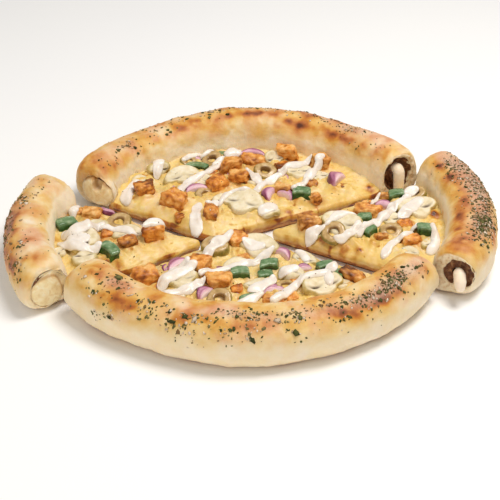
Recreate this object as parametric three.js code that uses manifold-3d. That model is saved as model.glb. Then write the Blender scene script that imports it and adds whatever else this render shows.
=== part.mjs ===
// A stuffed crust pizza, cut with a wheel into two double slices (back and front) and two single
// ones (left and right), the single ones pulled out sideways. The rim is a fat tube of dough round
// a ring of minced kebab, and the kebab has a core of white cheese. Chicken, mushroom, olive,
// pepper and onion lie on the cheese. Millimetres, +Z up, the underside on Z = 0 and the origin
// under the middle.
import * as THREE from 'three';
import { mergeVertices } from 'three/addons/utils/BufferGeometryUtils.js';
import Module from 'manifold-3d';

const wasm = await Module();
wasm.setup();

const { degToRad, smoothstep } = THREE.MathUtils;

// Dough: a thin flat base that rises into the rim.
const PIZZA_RADIUS = 130;
const RIM_WIDTH = 31;
const RIM_HEIGHT = 34;
const BELLY_HEIGHT = 15;
const BELLY_DEPTH = 20;
const RIM_SQUARENESS = 2.3;
const BASE_THICKNESS = 6;

// Where the crust stands highest: how much, at which bearing, over what spread.
const RISES = [[6, 1.55, 0.42], [3.4, 0.68, 0.2]];

// Filling of the rim: the kebab ring and the cheese core that thins from left to right.
const FILLING_RING_RADIUS = 113;
const FILLING_HEIGHT = 15.5;
const KEBAB_RADIUS = 11;
const CORE_RADIUS = 6.7;
const CORE_THINNING = 2.9;

// Melted cheese on the base, a little short of the rim, and the rings its top is made of.
const CHEESE_THICKNESS = 6;
const CHEESE_WAVE = 0.5;
const CHEESE_MARGIN = 0.5;
const CHEESE_RINGS = [1, 0.8, 0.6, 0.4, 0.2, 0];

// Clearance between pieces that touch, and under a topping, where the cheese is uneven.
const GAP = 0.3;
const TOPPING_CLEARANCE = 0.35;

// Fineness of the turned solids.
const TURN_STEPS = 46;
const RIM_STEPS = 12;
const KEBAB_SIDES = 10;
const CORE_SIDES = 8;
const OLIVE_SIDES = 14;

// How strongly a topping bends along its length, in radians, and how long its inner side is.
const PEPPER_BEND = 0.8;
const PEPPER_INNER = 1;
const ONION_BEND = 1.5;
const ONION_INNER = 0.6;

const BLOCK_REACH = 400;
const BLOCK_BOTTOM = -10;
const BLOCK_HEIGHT = 60;
const BLOCK_STEPS = 4;

const RIM_CENTRE = PIZZA_RADIUS - RIM_WIDTH / 2;
const RIM_INSIDE = PIZZA_RADIUS - RIM_WIDTH;
const CHEESE_BOTTOM = BASE_THICKNESS + GAP;
const CHEESE_TOP = CHEESE_BOTTOM + CHEESE_THICKNESS;

// Each piece has its tip (x, y), the bearings of its two cuts in degrees, how far it was pulled
// from its place in the whole pizza, and how far its cheese core sticks out past the first cut.
const PIECES = {
  back: { tip: [-24, -5], from: 26.5, to: 148.7, pull: [0, 0.8], coreOut: 0 },
  left: { tip: [-9, -5], from: 152.7, to: 215.2, pull: [-23.2, -5.4], coreOut: 0 },
  front: { tip: [-9, -5], from: 216.7, to: 332, pull: [-1.8, 1.8], coreOut: 0 },
  right: { tip: [-9, -5], from: -29.1, to: 29.7, pull: [23.2, 6.2], coreOut: 8 },
};

// Toppings of each piece: kind, reach from the tip, bearing, turn about Z, and size
// (length, width, height; a mushroom slice has its cap's width and its thickness, and an olive
// ring its diameter and thickness).
const TOPPINGS = {
  back: [
    ['chicken', 66, 135.5, 15, [14, 12, 11]],
    ['mushroom', 82, 119, 100, [13, 7]],
    ['mushroom', 69, 109, 25, [23, 5]],
    ['pepper', 81, 99.5, -10, [13, 6, 6]],
    ['olive', 88, 92, 0, [16, 5]],
    ['onion', 98.5, 75, -8, [17, 5, 5]],
    ['chicken', 88.5, 73, -10, [17, 9, 10]],
    ['chicken', 75.5, 82.5, 10, [16, 11, 12]],
    ['chicken', 62, 75.5, -25, [14, 11, 11]],
    ['chicken', 53, 88, 40, [14, 12, 10]],
    ['chicken', 103.5, 61.5, -15, [15, 9, 15]],
    ['chicken', 105.5, 48, 20, [12, 11, 12]],
    ['olive', 77, 64.5, 0, [15, 6]],
    ['onion', 99, 36, 60, [14, 8, 7]],
    ['mushroom', 90.5, 52, 15, [19, 5]],
    ['pepper', 70, 35.5, -5, [11, 7, 8]],
    ['mushroom', 35.5, 57, -20, [27, 6]],
    ['chicken', 41, 130, -20, [15, 13, 13]],
    ['onion', 53.5, 50, 70, [13, 7, 7]],
  ],
  left: [
    ['pepper', 83.5, 174, 20, [12, 7, 8]],
    ['chicken', 73.5, 163, -10, [14, 10, 8]],
    ['mushroom', 73, 187, 95, [26, 8]],
    ['pepper', 58, 202.5, -45, [14, 7, 8]],
    ['chicken', 45, 195, 25, [11, 9, 8]],
    ['chicken', 29, 184, 8, [14, 12, 13]],
  ],
  front: [
    ['chicken', 77, 228, 30, [18, 14, 14]],
    ['chicken', 61, 263.5, 5, [18, 12, 11]],
    ['mushroom', 65.5, 242.5, 15, [20, 6]],
    ['chicken', 49.5, 245.5, -25, [12, 11, 11]],
    ['olive', 76.5, 264.5, 0, [15, 4]],
    ['pepper', 48, 297, 10, [10, 6, 8]],
    ['chicken', 17, 275, 45, [12, 11, 10]],
    ['chicken', 88, 323, -30, [16, 11, 9]],
    ['mushroom', 81.5, 309, 25, [25, 5]],
    ['mushroom', 62.5, 304, -20, [16, 9]],
    ['pepper', 71, 321, 15, [11, 6, 8]],
  ],
  right: [
    ['mushroom', 43, -2, -15, [26, 6]],
    ['olive', 73.5, -6.5, 0, [15, 5]],
    ['mushroom', 93, 10.5, 20, [24, 6]],
    ['chicken', 62.5, 14, -15, [19, 10, 9]],
    ['chicken', 22, 0, 10, [13, 12, 9]],
    ['pepper', 88, 23, 15, [10, 6, 8]],
    ['chicken', 86.5, -13, 20, [12, 9, 8]],
    ['pepper', 95, -6.5, -15, [10, 6, 9]],
  ],
};

const LOOKS = {
  dough: { color: 0xe3b372, roughness: 0.62, metalness: 0 },
  cheese: { color: 0xecc873, roughness: 0.38, metalness: 0 },
  kebab: { color: 0x6e4527, roughness: 0.7, metalness: 0 },
  cheese_core: { color: 0xf0e3c4, roughness: 0.45, metalness: 0 },
  chicken: { color: 0xb96a2a, roughness: 0.55, metalness: 0 },
  mushroom: { color: 0xe6dcb8, roughness: 0.5, metalness: 0 },
  olive: { color: 0xa08f42, roughness: 0.35, metalness: 0 },
  pepper: { color: 0x2f5a32, roughness: 0.35, metalness: 0 },
  onion: { color: 0xa86a92, roughness: 0.4, metalness: 0 },
};

// The hand-shaped rim is never quite round or level: millimetres outward and upward at a bearing.
function swell(bearing) {
  const slow = 0.9 * Math.sin(3 * bearing + 0.6) + 0.6 * Math.sin(5 * bearing + 2.1);
  return slow + 0.4 * Math.sin(9 * bearing + 4);
}

function lift(bearing) {
  const slow = 0.7 * Math.sin(2 * bearing + 1.1) + 0.5 * Math.sin(7 * bearing + 0.4) - 0.8;
  return RISES.reduce(
    (sum, [rise, middle, spread]) => sum + rise * Math.exp(-(((bearing - middle) / spread) ** 2)),
    slow,
  );
}

// Millimetres of slow waves on the melted cheese.
function cheeseWave(x, y) {
  return CHEESE_WAVE * (Math.sin(x / 13 + 1) * Math.cos(y / 17) + 0.5 * Math.sin((x - y) / 8));
}

// Radius of the cheese core at a bearing: thick on the left, thin on the right.
function coreRadius(bearing) {
  return CORE_RADIUS - CORE_THINNING * Math.cos(bearing);
}

// Moves every vertex of a geometry by a function of its place.
function reshape(geometry, move) {
  const places = geometry.attributes.position;
  for (let i = 0; i < places.count; i++) {
    places.setXYZ(i, ...move(places.getX(i), places.getY(i), places.getZ(i)));
  }
  return geometry;
}

// Merges a geometry's shared vertices and leaves out the triangles that this closes to a line.
function welded(geometry) {
  const bare = geometry.clone();
  bare.deleteAttribute('normal');
  bare.deleteAttribute('uv');
  const merged = mergeVertices(bare);
  const corners = merged.index.array;
  const kept = [];
  for (let i = 0; i < corners.length; i += 3) {
    const [a, b, c] = corners.slice(i, i + 3);
    if (a !== b && b !== c && c !== a) kept.push(a, b, c);
  }
  merged.setIndex(kept);
  return merged;
}

function solidOf(geometry) {
  const closed = welded(geometry);
  return new wasm.Manifold(new wasm.Mesh({
    numProp: 3,
    vertProperties: new Float32Array(closed.attributes.position.array),
    triVerts: new Uint32Array(closed.index.array),
  }));
}

function geometryOf(solid) {
  const { vertProperties, triVerts } = solid.getMesh();
  const geometry = new THREE.BufferGeometry();
  geometry.setAttribute('position', new THREE.BufferAttribute(vertProperties, 3));
  geometry.setIndex(new THREE.BufferAttribute(triVerts, 1));
  geometry.computeVertexNormals();
  return geometry;
}

// Turns an outline of [radius, height] points about Z.
function turned(outline) {
  const points = outline.map(([radius, height]) => new THREE.Vector2(radius, height));
  return new THREE.LatheGeometry(points, TURN_STEPS).rotateX(Math.PI / 2);
}

// Section of the filling ring: a regular polygon round the ring's centre line, closed on itself.
function ringOutline(radius, sides) {
  return Array.from({ length: sides + 1 }, (_, i) => {
    const turn = (2 * Math.PI * (i % sides)) / sides;
    return [FILLING_RING_RADIUS + radius * Math.cos(turn), FILLING_HEIGHT + radius * Math.sin(turn)];
  });
}

// Section of the dough from the underside's middle out and up over the rim and back to the
// middle. The rim is a squared oval, cut off flat where it stands.
function doughOutline() {
  const power = 2 / RIM_SQUARENESS;
  const footSine = (BELLY_HEIGHT / BELLY_DEPTH) ** (1 / power);
  const footTurn = -Math.asin(footSine);
  const outline = [[0, 0]];
  for (let i = 0; i <= RIM_STEPS; i++) {
    const turn = footTurn + ((Math.PI - footTurn) * i) / RIM_STEPS;
    const out = Math.sign(Math.cos(turn)) * Math.abs(Math.cos(turn)) ** power;
    const up = Math.sign(Math.sin(turn)) * Math.abs(Math.sin(turn)) ** power;
    const reach = up > 0 ? RIM_HEIGHT - BELLY_HEIGHT : BELLY_DEPTH;
    outline.push([RIM_CENTRE + (out * RIM_WIDTH) / 2, Math.max(0, BELLY_HEIGHT + up * reach)]);
  }
  outline.push([RIM_INSIDE, BASE_THICKNESS], [0, BASE_THICKNESS]);
  return outline;
}

function handShaped(x, y, z) {
  const bearing = Math.atan2(y, x);
  const onRim = smoothstep(Math.hypot(x, y), RIM_INSIDE, RIM_CENTRE);
  const stretch = 1 + (onRim * swell(bearing)) / PIZZA_RADIUS;
  const rise = onRim * smoothstep(z, BELLY_HEIGHT, RIM_HEIGHT) * lift(bearing);
  return [x * stretch, y * stretch, z + rise];
}

// Scales the section of the filling ring so that its radius follows the cheese core.
function asCore(spare) {
  return (x, y, z) => {
    const bearing = Math.atan2(y, x);
    const scale = (coreRadius(bearing) + spare) / CORE_RADIUS;
    const radius = FILLING_RING_RADIUS + (Math.hypot(x, y) - FILLING_RING_RADIUS) * scale;
    const height = FILLING_HEIGHT + (z - FILLING_HEIGHT) * scale;
    return [radius * Math.cos(bearing), radius * Math.sin(bearing), height];
  };
}

function wholeDough() {
  const crust = solidOf(reshape(turned(doughOutline()), handShaped));
  const tunnel = solidOf(turned(ringOutline(KEBAB_RADIUS + GAP, KEBAB_SIDES)));
  return crust.subtract(tunnel);
}

function wholeKebab() {
  const ring = solidOf(turned(ringOutline(KEBAB_RADIUS, KEBAB_SIDES)));
  const bore = solidOf(reshape(turned(ringOutline(CORE_RADIUS, CORE_SIDES)), asCore(GAP)));
  return ring.subtract(bore);
}

function wholeCore() {
  return solidOf(reshape(turned(ringOutline(CORE_RADIUS, CORE_SIDES)), asCore(0)));
}

function wholeCheese() {
  const edge = RIM_INSIDE - CHEESE_MARGIN;
  const outline = [[0, CHEESE_BOTTOM], [edge, CHEESE_BOTTOM]];
  CHEESE_RINGS.forEach((share) => outline.push([edge * share, CHEESE_TOP]));
  return solidOf(reshape(turned(outline), (x, y, z) => {
    const onTop = z > (CHEESE_BOTTOM + CHEESE_TOP) / 2;
    return [x, y, onTop ? z + cheeseWave(x, y) : z];
  }));
}

// Upright block over one piece, from its tip out past the rim between its two cuts.
function sliceBlock({ tip, from, to }) {
  const [x, y] = tip;
  const shape = new THREE.Shape();
  shape.moveTo(x, y);
  for (let step = 0; step <= BLOCK_STEPS; step++) {
    const bearing = degToRad(from + ((to - from) * step) / BLOCK_STEPS);
    shape.lineTo(x + BLOCK_REACH * Math.cos(bearing), y + BLOCK_REACH * Math.sin(bearing));
  }
  shape.closePath();
  const block = new THREE.ExtrudeGeometry(shape, { depth: BLOCK_HEIGHT, bevelEnabled: false });
  return solidOf(block.translate(0, 0, BLOCK_BOTTOM));
}

// The same block with its first cut moved out by a length, except close to the tip.
function tornBlock(piece) {
  const block = sliceBlock(piece);
  const across = degToRad(piece.from - 90);
  const out = [piece.coreOut * Math.cos(across), piece.coreOut * Math.sin(across), 0];
  return block.add(block.translate(out));
}

// Roast chicken: a ball squared off to a torn cube with dented sides and a flat underside.
function chickenGeometry([length, width, height], dents) {
  const power = 4;
  const underside = -0.8;
  return reshape(new THREE.IcosahedronGeometry(1, 1), (x, y, z) => {
    const size = (Math.abs(x) ** power + Math.abs(y) ** power + Math.abs(z) ** power) ** (1 / power);
    const dent = 0.93 + 0.07 * Math.sin(4 * x + dents) * Math.cos(3 * y - 2 * dents + 2 * z);
    const level = Math.max(underside, (z / size) * dent);
    return [
      ((x / size) * dent * length) / 2,
      ((y / size) * dent * width) / 2,
      ((level - underside) / (1 - underside)) * height,
    ];
  });
}

// Mushroom slice lying flat: a domed cap whose margins curl down beside a short stem.
function mushroomGeometry([width, thickness]) {
  const half = width / 2;
  const stem = 0.24 * half;
  const stemEnd = -0.75 * half;
  const margin = -0.2 * half;
  const crown = 0.55 * half;
  const shape = new THREE.Shape();
  shape.moveTo(-stem, stemEnd);
  shape.lineTo(stem, stemEnd);
  shape.lineTo(stem, margin / 2);
  shape.quadraticCurveTo(0.7 * half, margin / 2, 0.85 * half, 1.4 * margin);
  shape.quadraticCurveTo(1.08 * half, margin, 0.98 * half, 0);
  shape.quadraticCurveTo(0.8 * half, crown, 0, crown);
  shape.quadraticCurveTo(-0.8 * half, crown, -0.98 * half, 0);
  shape.quadraticCurveTo(-1.08 * half, margin, -0.85 * half, 1.4 * margin);
  shape.quadraticCurveTo(-0.7 * half, margin / 2, -stem, margin / 2);
  shape.closePath();
  return new THREE.ExtrudeGeometry(shape, {
    depth: thickness, bevelEnabled: false, curveSegments: 3,
  });
}

// Ring cut from a stoned olive, rounder outside than at its hole.
function oliveGeometry([diameter, thickness]) {
  const outer = diameter / 2;
  const face = 0.85 * outer;
  const hole = 0.36 * outer;
  const outline = [
    [hole, 0], [face, 0], [outer, thickness / 2], [face, thickness], [hole, thickness], [hole, 0],
  ];
  const points = outline.map(([radius, height]) => new THREE.Vector2(radius, height));
  return new THREE.LatheGeometry(points, OLIVE_SIDES).rotateX(Math.PI / 2);
}

// Band between two arcs about a centre below the middle of its length, standing height tall.
function bentBlock(length, width, height, bend, innerShare) {
  const outer = length / bend;
  const inner = outer - width;
  const half = 0.5 * bend;
  const innerHalf = innerShare * half;
  const shape = new THREE.Shape();
  shape.absarc(0, -outer, outer, Math.PI / 2 + half, Math.PI / 2 - half, true);
  shape.absarc(0, -outer, inner, Math.PI / 2 - innerHalf, Math.PI / 2 + innerHalf, false);
  shape.closePath();
  const block = new THREE.ExtrudeGeometry(shape, {
    depth: height, bevelEnabled: false, curveSegments: 5,
  });
  return block.translate(0, width / 2, 0);
}

// Diced pepper wall, a little bent.
function pepperGeometry([length, width, height]) {
  return bentBlock(length, width, height, PEPPER_BEND, PEPPER_INNER);
}

// Petal of red onion, bent more and drawn in at its ends.
function onionGeometry([length, width, height]) {
  return bentBlock(length, width, height, ONION_BEND, ONION_INNER);
}

const MAKERS = {
  chicken: chickenGeometry,
  mushroom: mushroomGeometry,
  olive: oliveGeometry,
  pepper: pepperGeometry,
  onion: onionGeometry,
};

function look(kind) {
  return new THREE.MeshStandardMaterial(LOOKS[kind]);
}

// Highest cheese under a topping of this reach, so that nothing sinks into it.
function cheeseUnder(x, y, reach) {
  let highest = cheeseWave(x, y);
  for (let turn = 0; turn < 2 * Math.PI; turn += Math.PI / 4) {
    highest = Math.max(highest, cheeseWave(x + reach * Math.cos(turn), y + reach * Math.sin(turn)));
  }
  return CHEESE_TOP + highest;
}

function placeToppings(group, pieceName, { tip }, rows) {
  rows.forEach(([kind, reach, bearing, turn, size], index) => {
    const mesh = new THREE.Mesh(MAKERS[kind](size, index), look(kind));
    const x = tip[0] + reach * Math.cos(degToRad(bearing));
    const y = tip[1] + reach * Math.sin(degToRad(bearing));
    const height = cheeseUnder(x, y, size[0] / 2) + TOPPING_CLEARANCE;
    mesh.position.set(x, y, height);
    mesh.rotation.z = degToRad(turn);
    mesh.name = `${kind}_${pieceName}_${index + 1}`;
    group.add(mesh);
  });
}

const pizza = new THREE.Group();
const wholes = {
  dough: wholeDough(), cheese: wholeCheese(), kebab: wholeKebab(), cheese_core: wholeCore(),
};

for (const [pieceName, piece] of Object.entries(PIECES)) {
  const group = new THREE.Group();
  group.position.set(...piece.pull, 0);
  for (const [layer, whole] of Object.entries(wholes)) {
    const block = layer === 'cheese_core' ? tornBlock(piece) : sliceBlock(piece);
    const solid = whole.intersect(block);
    const mesh = new THREE.Mesh(geometryOf(solid), look(layer));
    mesh.name = `${layer}_${pieceName}`;
    group.add(mesh);
  }
  placeToppings(group, pieceName, piece, TOPPINGS[pieceName]);
  pizza.add(group);
}

export default pizza;
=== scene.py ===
"""Stuffed crust pizza in four cut pieces, on a pale floor. Millimetres inside, metres in the meshes."""
import math
import bpy
import numpy as np
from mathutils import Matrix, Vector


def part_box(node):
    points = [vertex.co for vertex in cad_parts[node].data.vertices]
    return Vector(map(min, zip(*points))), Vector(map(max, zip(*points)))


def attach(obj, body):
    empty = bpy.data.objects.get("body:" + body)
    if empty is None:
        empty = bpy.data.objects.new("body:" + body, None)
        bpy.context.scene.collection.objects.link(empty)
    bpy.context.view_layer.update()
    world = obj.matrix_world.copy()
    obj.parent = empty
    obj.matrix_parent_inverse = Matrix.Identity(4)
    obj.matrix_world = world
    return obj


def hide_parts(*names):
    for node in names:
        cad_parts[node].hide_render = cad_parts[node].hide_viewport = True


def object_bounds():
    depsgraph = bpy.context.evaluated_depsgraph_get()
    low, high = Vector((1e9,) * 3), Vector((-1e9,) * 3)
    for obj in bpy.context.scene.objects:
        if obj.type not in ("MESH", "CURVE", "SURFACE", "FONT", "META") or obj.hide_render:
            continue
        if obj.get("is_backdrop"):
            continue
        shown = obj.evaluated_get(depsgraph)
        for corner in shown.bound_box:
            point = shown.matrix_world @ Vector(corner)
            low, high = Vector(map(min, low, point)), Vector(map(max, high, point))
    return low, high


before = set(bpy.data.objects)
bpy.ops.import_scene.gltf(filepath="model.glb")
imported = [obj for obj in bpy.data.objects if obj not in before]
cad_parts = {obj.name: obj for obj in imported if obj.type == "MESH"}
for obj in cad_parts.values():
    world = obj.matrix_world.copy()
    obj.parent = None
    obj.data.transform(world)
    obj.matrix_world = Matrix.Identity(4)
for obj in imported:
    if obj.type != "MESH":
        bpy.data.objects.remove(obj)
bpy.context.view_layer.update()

MM = 0.001

# The pizza's own sizes, as the solids have them.
PIZZA_RADIUS = 130
RIM_WIDTH = 31
RIM_HEIGHT = 34
BELLY_HEIGHT = 15
BELLY_DEPTH = 20
RIM_SQUARENESS = 2.3
RIM_CENTRE = PIZZA_RADIUS - RIM_WIDTH / 2
RIM_INSIDE = PIZZA_RADIUS - RIM_WIDTH
BASE_TOP = 6
CHEESE_BOTTOM = 6.3
CHEESE_TOP = 12.3
FILLING_RING = 113
FILLING_HEIGHT = 15.5
TUNNEL_RADIUS = 11.3
KEBAB_RADIUS = 11

# Humps of the rim's top: rise in mm, then bearing and spread in radians.
RISES = [(6, 1.55, 0.42), (3.4, 0.68, 0.2)]

# Each piece: its tip, the bearings of its two cuts, and how far it was pulled out.
PIECES = {
    "back": ((-24, -5), 26.5, 148.7, (0, 0.8)),
    "left": ((-9, -5), 152.7, 215.2, (-23.2, -5.4)),
    "front": ((-9, -5), 216.7, 332, (-1.8, 1.8)),
    "right": ((-9, -5), -29.1, 29.7, (23.2, 6.2)),
}

# How the dough closes over each cut end: length of the rounding, how far the top, the sides and
# the foot draw in, how far the face swells out, and how the filling's hole is stretched and moved
# there (wide, tall, up, out).
ENDS = {
    ("back", 0): (9, 1.5, 3.0, 0.6, 0.6, 0.96, 1.13, 3.4, 0.0),
    ("back", 1): (12, 5.0, 2.2, 3.8, 0.8, 1.1, 0.9, -1.0, -3.3),
    ("left", 0): (20, 12.0, 3.0, 1.5, 2.6, 0.9, 0.9, -2.5, 0.0),
    ("left", 1): (12, 5.0, 2.5, 6.5, 0.4, 1.05, 1.08, 0.4, 0.0),
    ("front", 0): (9, 7.5, 0.2, 0.8, 1.4, 0.85, 0.8, -1.0, 0.0),
    ("front", 1): (10, 8.5, 0.2, 5.5, 1.4, 0.85, 0.8, -1.5, 0.0),
    ("right", 0): (9, 3.6, 2.5, 5.0, 0.4, 0.88, 0.86, 2.8, 4.4),
    ("right", 1): (10, 5.0, 4.0, 1.0, 1.0, 0.9, 0.95, 0.0, 0.0),
}

# Ends that the dough crept past, in millimetres.
LONGER = {("front", 1): 5.5, ("front", 0): 1.5}

rng = np.random.default_rng(11)
MIX = np.tile(rng.permutation(256), 2)
SLOPES = rng.normal(size=(256, 3))
SLOPES /= np.linalg.norm(SLOPES, axis=1, keepdims=True)


# ---------------------------------------------------------------- shapes as arrays

def grain(points, lump, seed=0):
    """Smooth noise, about -1 to 1, with lumps this many millimetres across: each corner of a
    cubic lattice has a slope, and the eight slopes round a point are blended with a quintic ease."""
    place = np.asarray(points, float) / lump + seed * 17.31
    cell = np.floor(place).astype(int)
    part = place - cell
    blend = part ** 3 * (part * (part * 6 - 15) + 10)
    total = 0
    for corner in np.ndindex(2, 2, 2):
        x, y, z = np.moveaxis((cell + corner) & 255, -1, 0)
        slope = SLOPES[MIX[MIX[MIX[x] + y] + z]]
        weight = np.prod(np.where(corner, blend, 1 - blend), axis=-1)
        total = total + weight * ((part - corner) * slope).sum(-1)
    return 1.7 * total


def lumpy(points, lump, seed=0):
    """Sum of three grains, each half as wide and half as strong as the one before."""
    return sum(grain(points, lump / 2 ** k, seed + k) / 2 ** k for k in range(3))


def ease(value, low, high):
    """0 below low, 1 above high, and a smooth cubic between."""
    share = np.clip((value - low) / (high - low), 0, 1)
    return share * share * (3 - 2 * share)


def hump(value, middle, spread):
    """Bell curve of height 1."""
    return np.exp(-(((value - middle) / spread) ** 2))


def unit(rows):
    """Vectors along the last axis, each brought to length 1."""
    return rows / np.maximum(np.linalg.norm(rows, axis=-1, keepdims=True), 1e-9)


def heading(bearing):
    """Unit vector along a bearing in degrees, level with the floor."""
    turn = math.radians(bearing)
    return np.array([math.cos(turn), math.sin(turn), 0])


def swell(bearing):
    """Millimetres that the hand-shaped rim stands out at a bearing: three slow sine waves."""
    slow = 0.9 * np.sin(3 * bearing + 0.6) + 0.6 * np.sin(5 * bearing + 2.1)
    return slow + 0.4 * np.sin(9 * bearing + 4)


def lift(bearing):
    """Millimetres that the rim's top stands up: two sine waves, a broad hump at the back and a
    smaller one on its right."""
    slow = 0.7 * np.sin(2 * bearing + 1.1) + 0.5 * np.sin(7 * bearing + 0.4) - 0.8
    return slow + sum(rise * hump(bearing, middle, spread) for rise, middle, spread in RISES)


def cheese_wave(x, y):
    """Slow waves of the melted cheese, half a millimetre high."""
    return 0.5 * (np.sin(x / 13 + 1) * np.cos(y / 17) + 0.5 * np.sin((x - y) / 8))


def core_radius(bearing):
    """Radius of the cheese core: thick on the left, thin on the right."""
    return 6.7 - 2.9 * np.cos(bearing)


def on_ray(name, bearing, radius):
    """The point at this distance from the pizza's middle on the ray that leaves the piece's tip
    at this bearing (degrees): the positive root of the ray's quadratic."""
    (x, y), turn = PIECES[name][0], np.radians(bearing)
    along = x * np.cos(turn) + y * np.sin(turn)
    reach = -along + np.sqrt(along ** 2 - (x * x + y * y - radius ** 2))
    return x + reach * np.cos(turn), y + reach * np.sin(turn)


def from_tip(name, reach, bearing):
    """Where a reach and a bearing from a piece's tip lie once the piece is pulled out."""
    (x, y), _, _, (dx, dy) = PIECES[name]
    turn = np.radians(bearing)
    return x + dx + reach * np.cos(turn), y + dy + reach * np.sin(turn)


def grid_faces(rows, columns, wrap_rows=False, wrap_columns=False):
    """Four-sided faces of a grid of rows by columns, closed on itself where it wraps."""
    i = np.arange(rows if wrap_rows else rows - 1)[:, None]
    j = np.arange(columns if wrap_columns else columns - 1)[None]
    i2, j2 = (i + 1) % rows, (j + 1) % columns
    around = [i * columns + j, i2 * columns + j, i2 * columns + j2, i * columns + j2]
    return np.stack(np.broadcast_arrays(*around), -1).reshape(-1, 4)


def tube_shell(grid, marks, start, end):
    """A tube of rings (rows, columns, 3), closed by a point at its start and one at its end."""
    rows, columns = grid.shape[:2]
    ring = np.arange(columns)
    after = (ring + 1) % columns
    low, high = np.full(columns, rows * columns), np.full(columns, rows * columns + 1)
    last = (rows - 1) * columns
    faces = [
        grid_faces(rows, columns, wrap_columns=True),
        np.stack([low, ring, after], -1),
        np.stack([high, last + after, last + ring], -1),
    ]
    points = np.concatenate([grid.reshape(-1, 3), [start], [end]])
    full = {}
    for key, value in marks.items():
        flat = np.broadcast_to(value, (rows, columns))
        full[key] = np.concatenate([flat.ravel(), [flat[0].mean()], [flat[-1].mean()]])
    return points, faces, full


def ring_shell(grid, marks):
    """A grid closed on itself both ways, such as a ring, with its marks spread over it."""
    shape = grid.shape[:2]
    full = {key: np.broadcast_to(value, shape).ravel() for key, value in marks.items()}
    return grid.reshape(-1, 3), [grid_faces(*shape, True, True)], full


def normals_of(grid):
    """Unit normals of such a grid: the cross product of its differences along and across."""
    along, across = (np.roll(grid, -1, axis) - np.roll(grid, 1, axis) for axis in (0, 1))
    return unit(np.cross(along, across))


def volume_of(points, faces):
    """Signed volume: a sixth of the triple product of each triangle, summed."""
    total = 0
    for face in faces:
        for k in range(1, face.shape[1] - 1):
            a, b, c = points[face[:, 0]], points[face[:, k]], points[face[:, k + 1]]
            total += (a * np.cross(b, c)).sum() / 6
    return total


def block(count, squareness):
    """Closed cushion shape in a box from -1 to 1: an even grid on each side of a cube, drawn in so
    that the coordinates' powers sum to 1, with the sides' shared edges merged."""
    steps = np.tan(np.linspace(-1, 1, count) * np.pi / 4)
    a, b = np.meshgrid(steps, steps, indexing="ij")
    one = np.ones_like(a)
    sides = ((one, a, b), (-one, b, a), (b, one, a), (a, -one, b), (a, b, one), (b, a, -one))
    points = np.concatenate([np.stack(side, -1).reshape(-1, 3) for side in sides])
    quads = grid_faces(count, count)
    faces = np.concatenate([quads + k * count * count for k in range(6)])
    merged, inverse = np.unique(np.round(points, 9), axis=0, return_inverse=True)
    size = (np.abs(merged) ** squareness).sum(1) ** (1 / squareness)
    return merged / size[:, None], inverse.reshape(-1)[faces]


def turned_to(points, turn, tilt=0, lean=0):
    """Points tilted about X, leant about Y and then turned about Z, in degrees."""
    t, a, b = np.radians([turn, tilt, lean])
    x, y, z = np.moveaxis(points, -1, 0)
    y, z = y * np.cos(a) - z * np.sin(a), y * np.sin(a) + z * np.cos(a)
    x, z = x * np.cos(b) + z * np.sin(b), -x * np.sin(b) + z * np.cos(b)
    x, y = x * np.cos(t) - y * np.sin(t), x * np.sin(t) + y * np.cos(t)
    return np.stack([x, y, z], -1)


def put(name, shells, material, stands_for=()):
    """Puts closed shells of (points, faces, marks) into one mesh, in metres, each facing out, and
    rides it on the body. A mark is a number on each point, read by the materials."""
    points = np.concatenate([shell[0] for shell in shells])
    corners, sizes, offset = [], [], 0
    for places, faces, _ in shells:
        turned_in = volume_of(places, faces) < 0
        for face in faces:
            face = face[:, ::-1] if turned_in else face
            corners.append((face + offset).ravel())
            sizes.append(np.full(len(face), face.shape[1]))
        offset += len(places)
    corners, sizes = np.concatenate(corners), np.concatenate(sizes)
    mesh = bpy.data.meshes.new(name)
    mesh.vertices.add(len(points))
    mesh.vertices.foreach_set("co", (points * MM).astype(np.float32).ravel())
    mesh.loops.add(len(corners))
    mesh.loops.foreach_set("vertex_index", corners.astype(np.int32))
    mesh.polygons.add(len(sizes))
    mesh.polygons.foreach_set("loop_start", (np.cumsum(sizes) - sizes).astype(np.int32))
    mesh.polygons.foreach_set("use_smooth", np.ones(len(sizes), bool))
    mesh.update(calc_edges=True)
    for mark in sorted({key for shell in shells for key in shell[2]}):
        values = [
            np.broadcast_to(np.asarray(marks.get(mark, 0.0), np.float32), len(places))
            for places, _, marks in shells
        ]
        layer = mesh.attributes.new(mark, "FLOAT", "POINT")
        layer.data.foreach_set("value", np.concatenate(values).astype(np.float32))
    mesh.materials.append(material)
    made = bpy.data.objects.new(name, mesh)
    bpy.context.scene.collection.objects.link(made)
    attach(made, "root")
    if stands_for:
        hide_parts(*stands_for)


# ---------------------------------------------------------------- materials

def rgb(code):
    """Linear colour of an sRGB hex code."""
    part = np.array([int(code[k:k + 2], 16) for k in (1, 3, 5)]) / 255
    flat = np.where(part <= 0.04045, part / 12.92, ((part + 0.055) / 1.055) ** 2.4)
    return (*flat.tolist(), 1.0)


def lumps(place, size, detail=0):
    """Inputs of a texture in Object coordinates (metres) with lumps this many millimetres across."""
    return {"Vector": place, "Scale": 1 / (size * MM), "Detail": detail}


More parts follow.
